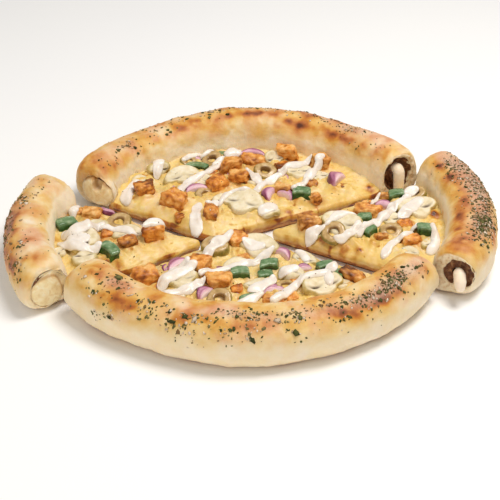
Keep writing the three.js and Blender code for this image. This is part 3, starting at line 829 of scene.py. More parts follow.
def shape_rim(name):
    """Rim of one piece as one closed grid: the squared oval section carried from cut to cut and
    drawn in over the rounded ends, then the cut face in to the filling's hole, back along the
    hole's wall, and out over the other cut face. Lumps, folds and wrinkles move each point along
    its normal."""
    _, first, last, pull = PIECES[name]
    turn, radius, height = rim_section(SECTION_POINTS)
    rows = rim_rows(name)
    inner = np.linspace(last, first, 34)[1:-1]
    share = np.array([0.06, 0.14, 0.24, 0.35, 0.46, 0.57, 0.68, 0.78, 0.87, 0.94, 1.0])
    line = np.concatenate([rows, np.full(len(share), last), inner, np.full(len(share), first)])
    cover = np.concatenate([0 * rows, share, 0 * inner + 1, share[::-1]])[:, None]
    middle_r, middle_z = (value[:, None] for value in filling_place(name, line, 0, 0))
    bearing = line[:, None]
    out_r, out_z = radius - middle_r, height - middle_z
    away = np.arctan2(out_z, out_r)
    span = np.hypot(out_r, out_z)
    distances = [value[:, None] for value in end_distance(name, line)]
    for k, distance in enumerate(distances):
        length, top, side, foot = ENDS[name, k][:4]
        close = 1 - np.sqrt(1 - np.clip(1 - distance / length, 0, 1) ** 2)
        draw = np.where(away > 0, top, foot) * np.sin(away) ** 2 + side * np.cos(away) ** 2
        span = span - close * draw
    # Crumb that hangs into the hole here and there, up to 1.5 mm.
    round_hole = np.stack([3 * np.cos(away), 3 * np.sin(away), bearing + 0 * away], -1)
    ragged = ease(grain(round_hole, 1.6, 16), 0, 0.6)
    hole_r, hole_z = filling_place(name, bearing, TUNNEL_RADIUS - 1.5 * ragged, away)
    bore = np.hypot(hole_r - middle_r, hole_z - middle_z)
    span = np.maximum(span, bore + 0.9)
    skin_r = middle_r + span * np.cos(away)
    skin_z = np.maximum(middle_z + span * np.sin(away), 0)
    ring_r = skin_r + cover * (hole_r - skin_r)
    ring_z = skin_z + cover * (hole_z - skin_z)
    x, y = on_ray(name, bearing, ring_r)
    round_at = np.arctan2(y, x)
    on_skin = 1 - cover
    on_rim = ease(ring_r, RIM_INSIDE, RIM_CENTRE) * on_skin
    ring_r = ring_r * (1 + on_rim * swell(round_at) / PIZZA_RADIUS)
    ring_z = ring_z + on_rim * ease(ring_z, BELLY_HEIGHT, RIM_HEIGHT) * lift(round_at)
    inner_top = (1 - ease(ring_r, RIM_INSIDE, RIM_CENTRE)) * on_skin
    ring_z = ring_z + inner_top * ease(ring_z, 16, 30) * 0.7 * lift(round_at)
    grid = np.stack([*on_ray(name, bearing, ring_r), ring_z], -1)
    normal = normals_of(grid)
    outward = grid - np.stack([*on_ray(name, bearing, middle_r), middle_z], -1)
    normal *= np.sign((normal * outward)[:len(rows)].sum())
    degrees = np.degrees(turn)[None]
    lumps_out = 0.75 * grain(grid, 26, 1) + 0.6 * grain(grid, 11, 2) + 0.22 * grain(grid, 4.5, 3)
    lumps_out = lumps_out + 0.1 * grain(grid, 2.3, 15)
    lumps_out = lumps_out - 0.25 * np.abs(grain(grid, 6, 4)) * ease(degrees, 100, 150)
    folds = spots_on(FOLDS[name], bearing, degrees)
    grid = grid + normal * (on_skin * np.maximum(lumps_out - folds, bore + 0.5 - span))[..., None]
    crumbs = 0.5 * grain(grid, 3.2, 5) + 0.3 * grain(grid, 1.5, 6)
    face = np.sin(np.pi * cover)
    for k, (cut, across) in enumerate(((first, heading(first - 90)), (last, heading(last + 90)))):
        out = (bearing == cut) * face * (ENDS[name, k][4] + crumbs)
        near = hump(np.maximum(distances[k], 0), 0, 12)
        grid = grid + (out + LONGER.get((name, k), 0) * near)[..., None] * across
    grid[..., 2] = np.maximum(grid[..., 2], 0.02 * ring_z)
    marks = bake_marks(name, grid, bearing, degrees, cover, last)
    moved = grid + [*pull, 0]
    count = len(rows)
    return ring_shell(moved, marks), (rows, degrees[0], moved[:count], normal[:count])


def slice_outline(name, inset, radius, spacing, rounding):
    """Outline of a piece from above: out along one cut, round an arc and back along the other,
    set in from the cuts, evenly spaced and with its corners smoothed by a running mean. Also how
    far each point belongs to a cut rather than to the arc."""
    tip, first, last, _ = PIECES[name]
    half = math.radians(last - first) / 2
    middle = math.radians(first + last) / 2
    x = tip[0] + inset / math.sin(half) * math.cos(middle)
    y = tip[1] + inset / math.sin(half) * math.sin(middle)

    def ray(bearing):
        along = x * np.cos(bearing) + y * np.sin(bearing)
        reach = -along + np.sqrt(along ** 2 - (x * x + y * y - radius ** 2))
        return x + reach * np.cos(bearing), y + reach * np.sin(bearing)

    arc = np.stack(ray(np.radians(np.linspace(first, last, 200))), -1)
    out = np.array([x, y]) + np.linspace(0, 1, 100)[:, None] * (arc[0] - (x, y))
    back = np.array([x, y]) + np.linspace(1, 0, 100)[:, None] * (arc[-1] - (x, y))
    line = np.concatenate([out[:-1], arc, back[1:-1]])
    cut = np.repeat([1.0, 0.0, 1.0], [len(out) - 1, len(arc), len(back) - 2])
    closed = np.concatenate([line, line[:1]])
    length = np.concatenate([[0], np.cumsum(np.hypot(*np.diff(closed, axis=0).T))])
    count = int(length[-1] / spacing)
    even = np.linspace(0, length[-1], count, endpoint=False)
    line = np.stack([np.interp(even, length, closed[:, k]) for k in (0, 1)], -1)
    cut = np.interp(even, length, np.append(cut, cut[0]))
    reach = max(1, int(rounding / spacing))
    line = sum(np.roll(line, k, 0) for k in range(-reach, reach + 1)) / (2 * reach + 1)
    cut = sum(np.roll(cut, k) for k in range(-2, 3)) / 5
    return line, cut


def outline_normals(line):
    """Outward normals of a closed outline in the plane."""
    along = np.roll(line, -1, 0) - np.roll(line, 1, 0)
    side = unit(np.stack([along[:, 1], -along[:, 0]], -1))
    return side * np.sign(((line - line.mean(0)) * side).sum())


def shape_base(name):
    """Flat dough under the cheese: the outline drawn in to its middle in rings, on top and
    underneath, with a soft bulged side where the cutter went through."""
    line, cut = slice_outline(name, 0.9, RIM_INSIDE + 4, 1.2, 2)
    middle, side = line.mean(0), outline_normals(line)
    shares = np.linspace(0.04, 0.985, 12)
    rows = [(s, 0, BASE_TOP) for s in shares]
    rows += [(1, -0.5, 5.9), (1, 0.1, 5.0), (1, 0.2, 3.4), (1, 0.1, 1.8), (1, -0.2, 0.7),
             (1, -0.9, 0.15)]
    rows += [(s, 0, 0.1) for s in shares[::-1]]
    share, offset, height = (np.array(v)[:, None] for v in zip(*rows))
    flat = middle + share[..., None] * (line - middle) + offset[..., None] * side
    grid = np.concatenate([flat, np.broadcast_to(height, flat.shape[:2])[..., None]], -1)
    rough = (0.35 * grain(grid, 3, 12) + 0.2 * grain(grid, 1.4, 13)) * (share == 1) * cut
    grid[..., :2] += rough[..., None] * side
    # The base's side is brown and darker towards the floor: partly baked bottom, partly painted shade
    # of the gap between pieces.
    low = 1 - ease(grid[..., 2], 0.3, 1.6)
    marks = {"bake": 0.62 + 0.3 * low, "crumb": 0.2 * (1 - low), "blush": 0, "dust": 0}
    dx, dy = PIECES[name][3]
    return tube_shell(grid + [dx, dy, 0], marks, [middle[0] + dx, middle[1] + dy, BASE_TOP],
                      [middle[0] + dx, middle[1] + dy, 0.1])


# Each rim's bearings, turns, points and normals, for the herbs.
RIMS = {}
for piece in PIECES:
    rim_shell, RIMS[piece] = shape_rim(piece)
    put(f"crust_{piece}", [rim_shell, shape_base(piece)], DOUGH, [f"dough_{piece}"])


# ---------------------------------------------------------------- filling of the rim

def shape_kebab(name):
    """Kebab ring of one piece as one closed grid: along its outside from cut to cut, in over the
    cut face to the cheese core, back along the core's bore and out over the other face. The faces
    are dished, and mince grains stand out of them."""
    _, first, last, pull = PIECES[name]
    turn = np.linspace(0, 2 * np.pi, 110, endpoint=False)[None]
    share = np.linspace(0, 1, 20)[1:-1]
    along = np.linspace(first, last, 70)
    ends = [np.full(len(share), cut) for cut in (last, first)]
    line = np.concatenate([along, ends[0], along[::-1], ends[1]])
    blend = np.concatenate([0 * along, share, 0 * along + 1, share[::-1]])[:, None]
    x, y = on_ray(name, line, FILLING_RING)
    bearing = line[:, None]
    bore = np.minimum(core_radius(np.arctan2(y, x)) + 0.4, 9.9)[:, None]
    outside = KEBAB_RADIUS - 0.1
    ring_r, ring_z = filling_place(name, bearing, outside + blend * (bore - outside), turn)
    grid = np.stack([*on_ray(name, bearing, ring_r), ring_z], -1)
    on_face = np.sin(np.pi * blend) ** 0.6
    mince = 1.1 * grain(grid, 3.0, 21) + 0.5 * grain(grid, 1.3, 22)
    dish = {"back": (3.8, 1.0), "left": (1.0, 0.3), "front": (1.5, 1.5), "right": (2.0, 1.5)}[name]
    for cut, way, depth in ((first, first - 90, dish[0]), (last, last + 90, dish[1])):
        here, across = (bearing == cut) * on_face, heading(way)
        grid = grid + (here * (0.9 * mince - depth - 0.4))[..., None] * across
    # The pit mark is painted shade, darker where the mince sinks between grains.
    return ring_shell(grid + [*pull, 0], {"pit": np.clip(0.15 - 0.55 * mince, 0, 0.9)})


# Points round a rope of cheese, and rows over each of its domed ends.
STRAND_SIDES = 40
STRAND_CAP = 8


def strand(path, radius, squash, seed, milk=0.0):
    """A rope of cheese: a lumpy round section carried along a path, with domed ends. Radius is a
    number for each point of the path, and squash flattens the section sideways."""
    ahead = unit(np.gradient(path, axis=0))
    side = unit(np.cross(ahead, np.array([0.02, 0.01, 1.0])))
    over = np.cross(side, ahead)
    swing = np.linspace(0, np.pi / 2, STRAND_CAP + 1)[1:-1]
    start, end = path[0] - ahead[0] * radius[0] * 0.6, path[-1] + ahead[-1] * radius[-1] * 0.6
    tail = path[0] - np.outer(np.cos(swing), ahead[0]) * radius[0] * 0.6
    head = path[-1] + np.outer(np.sin(swing), ahead[-1]) * radius[-1] * 0.6
    spine = np.concatenate([tail, path, head])
    wide = np.concatenate([radius[0] * np.sin(swing), radius, radius[-1] * np.cos(swing)])
    side, over = (np.pad(v, ((len(swing), len(swing)), (0, 0)), mode="edge") for v in (side, over))
    turn = np.linspace(0, 2 * np.pi, STRAND_SIDES, endpoint=False)[None, :, None]
    ring = squash * np.cos(turn) * side[:, None] + np.sin(turn) * over[:, None]
    grid = spine[:, None] + wide[:, None, None] * ring
    grid = grid + ring * (0.3 * grain(grid, 5, seed) + 0.12 * grain(grid, 2, seed + 1))[..., None]
    return tube_shell(grid, {"seam": 0.0, "milk": milk}, start, end)


def core_path(name, low, high, count):
    """Centre line of the filling between two bearings."""
    bearing = np.linspace(low, high, count)
    radius, height = filling_place(name, bearing, 0, 0)
    x, y = on_ray(name, bearing, radius)
    return np.stack([x, y, height], -1) + [*PIECES[name][3], 0]


# How far the plug behind a core's wide end reaches into the rim, in mm.
PLUG_DEPTH = 5


def core_disc(name, k, wide, tall, relief):
    """Wide end of a cheese core, an oval of these half widths: a short plug behind the cut and a
    face that a relief in disc coordinates lifts or dents, in millimetres, with its own marks of
    seam and painted shade. The plug's side is browned, partly seam and partly painted shade."""
    cut = PIECES[name][1 + k]
    across, outward = heading(cut + (90 if k else -90)), heading(cut)
    turn = np.linspace(0, 2 * np.pi, 88, endpoint=False)
    rho = np.concatenate([np.linspace(0.04, 1, 26), np.ones(8), [0.6, 0.2]])[:, None]
    back = np.concatenate([np.zeros(26), np.linspace(0.6, PLUG_DEPTH, 8), [PLUG_DEPTH] * 2])[:, None]
    disc_x, disc_y = rho * np.cos(turn), rho * np.sin(turn)
    lifted, seam = relief(disc_x, disc_y)
    out = np.where(back > 0, -back, lifted - 1.6 * ease(rho, 0.86, 1.0) ** 2)
    centre = core_path(name, cut, cut, 1)[0]
    grid = centre + wide * disc_x[..., None] * outward + tall * disc_y[..., None] * [0, 0, 1]
    grid = grid + out[..., None] * across
    grid = grid + (0.18 * grain(grid, 3, 31) * (back <= 0))[..., None] * across
    start = centre + relief(np.zeros(1), np.zeros(1))[0][0] * across
    # The plug's side is browned: partly seam against the meat, partly painted shade of the gap.
    return tube_shell(grid, {"seam": np.where(back > 0, 0.35, seam)}, start,
                      centre - PLUG_DEPTH * across)


def curl_relief(x, y):
    """The back piece's left end: a thick horseshoe of cheese that stands out of the cut, round a
    notch open at the top on its inner side, in relief over the unit disc. Its mark is painted
    shade in the notch, along the notch's edge and the top rim, and on one outer side."""
    notch = np.hypot((x + 0.2) / 0.29, np.minimum(y - 0.6, 0) / 0.42)
    floor = 1 - ease(notch, 0.7, 1.04)
    rim = ease(np.hypot(x, y), 0.8, 0.95) * ease(y, 0.3, 0.7)
    seam = 0.5 * floor + 0.55 * hump(notch, 0.92, 0.2) * ease(x + 0.3, 0, 0.3) + 0.85 * rim
    seam = seam + 0.3 * ease(np.hypot(x, y), 0.6, 1.0) * ease(x - 0.5 * y, 0, 0.9)
    lip = 0.9 * hump(notch, 1.25, 0.25) * (1 - rim)
    return 4.4 - 2.4 * (x * x + y * y) ** 2 - 4.4 * floor + lip, np.clip(seam, 0, 1)


def folded_relief(x, y):
    """The left piece's lower end: a broad dome, and a second fold behind it on the upper inner
    side, in relief over the unit disc, browned between them and along the outer edge as painted shade."""
    x = -x
    main = np.hypot(x + 0.18, y + 0.12) * (1 + 0.06 * np.sin(3 * np.arctan2(y, x) + 1))
    behind = ease(main, 0.72, 0.84)
    fold = 0.9 * hump(np.hypot(x - 0.45, y - 0.42), 0.42, 0.25)
    seam = hump(main, 0.78, 0.05) * (0.3 + 0.7 * ease(x + y, -0.3, 0.4))
    dome = (1.9 - 1.3 * main ** 2) * (1 - behind) + (fold - 0.5) * behind
    edge = ease(np.hypot(x, y), 0.88, 1.0) * ease(-x - y, 0.4, 1.1)
    return dome + 0.25 * np.sin(5 * x + 2 * y + 1), np.clip(0.75 * seam + 0.3 * edge, 0, 1)


def plain_relief(x, y):
    """A cut end that nothing has moved: slightly hollow."""
    return -0.8 + 0.6 * (x * x + y * y), 0.1 + 0 * x


def bent_end(name, length, drop, aside):
    """Points that lead out of the first cut and bend down: straight, at an angle aside from the
    cut's own normal, then a falling parabola."""
    first = PIECES[name][1]
    start = core_path(name, first, first + 9, 12)[::-1]
    along = np.linspace(0, 1, 14)[1:, None]
    ahead = heading(first - 90 + aside)
    return np.concatenate([start, start[-1] + along * length * ahead - along ** 2 * [0, 0, drop]])


def hanging_end(name):
    """Points that lead up to the first cut, lean out of it in a quarter of a sine wave and hang
    down."""
    first = PIECES[name][1]
    start = core_path(name, first, first + 8, 16)[::-1] + [0, 0, 3.2]
    fall = np.linspace(0, 1, 16)[1:, None]
    out = 2.4 * np.sin(fall * np.pi / 2) * heading(first - 90)
    return np.concatenate([start, start[-1] + out - 13 * fall ** 1.6 * [0, 0, 1]])


for piece in PIECES:
    put(f"kebab_ring_{piece}", [shape_kebab(piece)], KEBAB, [f"kebab_{piece}"])

# Cheese cores: first and last bearing, points along them, first and last radius, and seed.
CORES = {
    "back": (PIECES["back"][1] + 5, PIECES["back"][2] - 8, 90, 4.1, 8.6, 33),
    "left": (160, 207, 40, 8.8, 8.8, 37),
    "front": (225, 324, 90, 8.4, 4.4, 39),
    "right": (-22, 24, 40, 3.8, 3.8, 41),
}
hang_width = np.interp(np.arange(31), [0, 14, 24, 30], [3.6, 4.2, 4.0, 3.4])
bend_width = np.interp(np.arange(25), [0, 12, 20, 24], [3.3, 3.7, 4.0, 3.0])
CORE_ENDS = {
    "back": [strand(hanging_end("back"), hang_width, 0.95, 35, milk=0.7),
             core_disc("back", 1, 12.5, 10.5, curl_relief)],
    "left": [core_disc("left", 1, 12.5, 13.0, folded_relief),
             core_disc("left", 0, 9.0, 9.4, plain_relief)],
    "front": [core_disc("front", 0, 8.2, 8.5, plain_relief),
              core_disc("front", 1, 4.4, 4.6, plain_relief)],
    "right": [strand(bent_end("right", 7.5, 6.0, 30), bend_width, 0.92, 43, milk=0.9),
              core_disc("right", 1, 4.0, 4.2, plain_relief)],
}
for piece, (low, high, count, near, far, seed) in CORES.items():
    long = strand(core_path(piece, low, high, count), np.linspace(near, far, count), 1, seed)
    put(f"core_{piece}", [long, *CORE_ENDS[piece]], CORE, [f"cheese_core_{piece}"])


# ---------------------------------------------------------------- toppings

def chunk_chicken(size, seed, count=22):
    """Torn cube: a squared block whose eight corners are pulled about, with broad dents, fibres
    that run along its length and small pits, all along its normals."""
    ball, faces = block(count, 6)
    dice = np.random.default_rng(seed)
    pull = dice.normal(0, 0.2, (2, 2, 2, 3))
    share = np.clip((ball + 1) / 2, 0, 1)
    warp = sum(
        np.prod(np.where(corner, share, 1 - share), axis=1)[:, None] * pull[corner]
        for corner in np.ndindex(2, 2, 2))
    shape = (ball + warp) * (1 + 0.1 * grain(ball, 0.9, seed))[:, None]
    half = np.asarray(size, float) / 2
    shape = shape / np.abs(shape).max(0) * half
    normal = unit(np.sign(ball) * np.abs(ball) ** 5 / half)
    lay = turned_to(shape, dice.uniform(-40, 40), dice.uniform(-25, 25)) / (3.4, 1, 1)
    fibre = grain(lay, 1.7, seed + 2)
    pits = grain(shape, 3.0, seed + 3)
    depth = 0.45 * fibre + 0.8 * np.minimum(pits, 0.1) + 0.25 * grain(shape, 1.2, seed + 4)
    shape = shape + normal * depth[:, None]
    edge = (np.abs(ball) ** 3).sum(1)
    seared = ease(ball @ unit(dice.normal(size=3)), 0.2, 1.1)
    # Real browning on corners and on one seared side, plus painted shade: darker in pits and fibre
    # grooves and towards the underside.
    char = 0.22 + 0.14 * ease(edge, 1.2, 1.9) - 0.3 * depth + 0.34 * grain(shape, 4, seed + 5)
    char = char + 0.16 * (1 - ease(ball[:, 2], -0.6, 0.5))
    char = char + 0.26 * seared + dice.uniform(-0.2, 0.1)
    tan = dice.uniform(0, 1) + 0.4 * grain(shape, 7, seed + 6)
    shape[:, 2] = np.maximum(shape[:, 2], -0.92 * half[2])
    return shape, [faces], {"char": np.clip(char, 0, 1), "tan": np.clip(tan, 0, 1)}


def slice_of_mushroom(size, seed, count=96):
    """Slice through a cap: a bean-shaped outline with a short stem, filled in rings about its
    middle, with flat faces and a rounded edge, and the whole slice gently curled. Each side of the
    stem has a narrow bowed groove of gills."""
    width, thick = size[0], size[-1]
    half = width / 2
    dice = np.random.default_rng(seed)
    turn = np.linspace(0, 2 * np.pi, count, endpoint=False)
    cap = np.stack([np.cos(turn), np.where(np.sin(turn) > 0, 0.74, 0.58) * np.sin(turn)], -1)
    stem = dice.uniform(0.1, 0.5) * hump(turn, 1.5 * np.pi, 0.36)
    notch = 0.14 * (hump(turn, 1.5 * np.pi - 0.8, 0.24) + hump(turn, 1.5 * np.pi + 0.8, 0.24))
    a, b, c = dice.uniform(0, 2 * np.pi, 3)
    wander = 0.05 * np.sin(2 * turn + a) + 0.035 * np.sin(3 * turn + b) + 0.02 * np.sin(5 * turn + c)
    line = half * cap * (1 + stem - notch + wander)[:, None]
    rings = round(count / 4.8)
    flat = np.linspace(0.05, 0.9, rings)
    bend = np.linspace(-np.pi / 2, np.pi / 2, round(count / 8.7))
    edge = 1 - (thick * 0.42 / half) * (1 - np.cos(bend))
    share = np.concatenate([flat * edge[0], edge, flat[::-1] * edge[0]])[:, None]
    level = np.concatenate([np.full(rings, -1.0), np.sin(bend), np.full(rings, 1.0)])[:, None]
    level = level * np.ones_like(turn)
    x, y = share * line[:, 0], share * line[:, 1]
    grid = np.stack([x, y, thick / 2 * level], -1)
    u, v = x / half, y / half
    bow = v + 0.16 - 0.9 * (np.abs(u) - 0.42) ** 2
    gill = hump(bow, 0, 0.075) * hump(np.abs(u) - 0.42, 0, 0.24)
    gill = gill * np.where(u > 0, dice.uniform(0.4, 1.3), dice.uniform(0.4, 1.3))
    on_face = np.abs(level) > 0.9
    sunk = 0.9 * gill + 0.3 * ease(1 - share, 0.1, 0.7) - 0.3 * grain(grid, 8, seed + 51)
    grid[..., 2] -= np.sign(level) * sunk * on_face
    way = dice.uniform(0, np.pi)
    along, over = u * np.cos(way) + v * np.sin(way), v * np.cos(way) - u * np.sin(way)
    grid[..., 2] += half * (0.16 * along ** 2 - 0.1 * over ** 2 + 0.03 * np.sin(4 * over + a))
    grid = grid + 0.1 * grain(grid, 2.4, seed + 52)[..., None]
    skin = (1 - ease(np.abs(level), 0.75, 1.0)) * (1 - hump(turn, 1.5 * np.pi, 0.4)) * (share > 0.8)
    marks = {"gill": np.clip(gill * on_face * 1.15, 0, 0.95), "skin": skin}
    ends = ([0, 0, grid[0, :, 2].mean()], [0, 0, grid[-1, :, 2].mean()])
    return tube_shell(grid, marks, *ends)


def ring_of_olive(size, seed):
    """Ring across a stoned olive: a bulged outside, two slightly dished faces and a hole, turned
    about the ring's axis and pulled a little out of round."""
    outer, thick = size[0] / 2, size[-1]
    hole = 0.38 * outer
    turn = np.linspace(0, 2 * np.pi, 72, endpoint=False)[None]
    outline = np.array([
        (hole, 0.5), (hole * 0.96, 0.28), (hole * 1.04, 0.1), (hole * 1.25, 0.02),
        (0.55 * outer, 0.04), (0.72 * outer, 0.01), (0.84 * outer, 0.03), (0.92 * outer, 0.12),
        (0.98 * outer, 0.3), (outer, 0.5), (0.985 * outer, 0.7), (0.93 * outer, 0.88),
        (0.84 * outer, 0.97), (0.72 * outer, 0.99), (0.55 * outer, 0.96), (hole * 1.25, 0.98),
        (hole * 1.04, 0.9), (hole * 0.96, 0.72)])
    radius, level = outline[:, :1], outline[:, 1:]
    wobble = 1 + 0.05 * np.sin(2 * turn + seed) + 0.025 * np.sin(5 * turn + 2 * seed)
    grid = np.stack(np.broadcast_arrays(
        radius * wobble * np.cos(turn), radius * wobble * np.sin(turn) * 0.93,
        level * thick + 0.3 * np.sin(2 * turn + 1 + seed)), -1)
    grid = grid + 0.12 * grain(grid, 2.5, seed + 61)[..., None]
    # The hole mark is painted shade: darker brown towards the hole.
    return ring_shell(grid, {"skin": ease(radius, 0.86 * outer, 0.95 * outer),
                             "hole": 0.8 * (1 - ease(radius, hole, hole * 1.5))})


def dice_of_pepper(size, seed, count=13):
    """Diced pepper wall: a squared block, sheared and a little bent, dark round its sides and
    paler on top, where the paler colour is a painted highlight of the light on its skin."""
    ball, faces = block(count, 12)
    dice = np.random.default_rng(seed)
    half = np.asarray(size, float) / 2
    shape = ball * half
    shape[:, 0] += dice.uniform(-0.35, 0.35) * shape[:, 1] + dice.uniform(-0.2, 0.2) * shape[:, 2]
    shape[:, 1] -= 0.5 / size[0] * shape[:, 0] ** 2 + dice.uniform(-0.25, 0.25) * shape[:, 2]
    shape = shape * (1 + 0.05 * grain(ball, 1.1, seed))[:, None]
    shape = shape + 0.12 * grain(shape, 2.5, seed + 71)[:, None]
    # Painted highlight: the upward face takes the pale ramp in place of the shine on the skin.
    skin = 1 - 0.95 * ease(ball[:, 2], 0.5, 0.85) * (1 - 0.3 * grain(shape, 5, seed + 72))
    return shape, [faces], {"skin": np.clip(skin, 0, 1)}


def petal_of_onion(size, seed, count=14):
    """Onion petals, two or three nested layers: a flat block bent strongly, thinned to its ends,
    with a fine groove between layers."""
    ball, faces = block(count, 4)
    half = np.asarray(size, float) / 2
    taper = 1 - 0.5 * ball[:, 0] ** 2
    shape = ball * half * np.stack([np.ones(len(ball)), taper, 0.55 + 0.45 * taper], -1)
    shape[:, 1] -= 0.9 / size[0] * shape[:, 0] ** 2
    layers = np.sin(ball[:, 1] * 5.5 + seed) * ease(ball[:, 2], 0.3, 0.9)
    shape[:, 2] += 0.35 * layers
    shape = shape + 0.12 * grain(shape, 2.5, seed + 81)[:, None]
    skin = 0.5 + 0.4 * ball[:, 1] + 0.15 * layers + 0.12 * grain(shape, 4, seed)
    return shape, [faces], {"skin": np.clip(skin, 0, 1)}


SHAPERS = {
    "chicken": (chunk_chicken, roast_chicken()), "mushroom": (slice_of_mushroom, slice_mushroom()),
    "olive": (ring_of_olive, stone_olive()), "pepper": (dice_of_pepper, dice_pepper()),
    "onion": (petal_of_onion, cut_onion()),
}

# Toppings that are solids of their own, in each piece's order: kind, turn in degrees, size in mm,
# and the tilt and lean of those that don't lie flat.
LAID = {
    "back": [
        ("chicken", 195, (15, 13, 12), 0, 6), ("mushroom", 20, (16, 8), 58),
        ("mushroom", 25, (26, 5), 10), ("pepper", -10, (15, 6, 7)), ("olive", 0, (16, 5), 20, -8),
        ("onion", -8, (19, 6, 8)), ("chicken", -10, (19, 10, 11), 8, 4),
        ("chicken", 10, (17, 12, 13), -6, 6), ("chicken", -25, (15, 12, 12), 6, -5),
        ("chicken", 40, (16, 13, 11), 0, 5), ("chicken", -15, (17, 10, 16), 10, -6),
        ("chicken", 20, (13, 12, 13), 4, 8), ("olive", 0, (16, 6.5), 20, 10),
        ("onion", 60, (16, 9, 9), 8, 14), ("mushroom", 15, (21, 6), 10, 4), ("pepper", -5, (12, 7, 9)),
        ("mushroom", -20, (29, 7), 14), ("chicken", -20, (17, 14, 14), 0, 6), ("onion", 70, (14, 8, 8)),
    ],
    "left": [
        ("pepper", 20, (13, 8, 9)), ("chicken", -10, (16, 11, 9), 4), ("mushroom", 95, (29, 8), 0, -8),
        ("pepper", -45, (15, 7, 9), 0, 4), ("chicken", 25, (12, 10, 9)),
        ("chicken", 8, (15, 13, 14), 0, 4),
    ],
    "front": [
        ("chicken", 30, (19, 15, 15), 4, -4), ("chicken", 5, (19, 13, 12), 0, 4),
        ("mushroom", 15, (22, 7), 10), ("chicken", -25, (14, 12, 12), 6, 4), ("olive", 0, (16, 5), 20),
        ("pepper", 10, (11, 7, 9)), ("chicken", 45, (14, 12, 11), 0, -6),
        ("chicken", -30, (17, 12, 9), 0, 6), ("mushroom", 25, (27, 6), 12),
        ("mushroom", -20, (17, 10), 10), ("pepper", 15, (11, 6, 9)),
    ],
    "right": [
        ("mushroom", -15, (28, 7), 10), ("olive", 0, (15, 5), 16), ("mushroom", 20, (27, 6), 12),
        ("chicken", -15, (20, 11, 10)), ("chicken", 10, (15, 13, 10), 0, 4), ("pepper", 15, (11, 7, 9)),
        ("chicken", 20, (13, 10, 9)), ("pepper", -15, (11, 7, 10)),
    ],
}

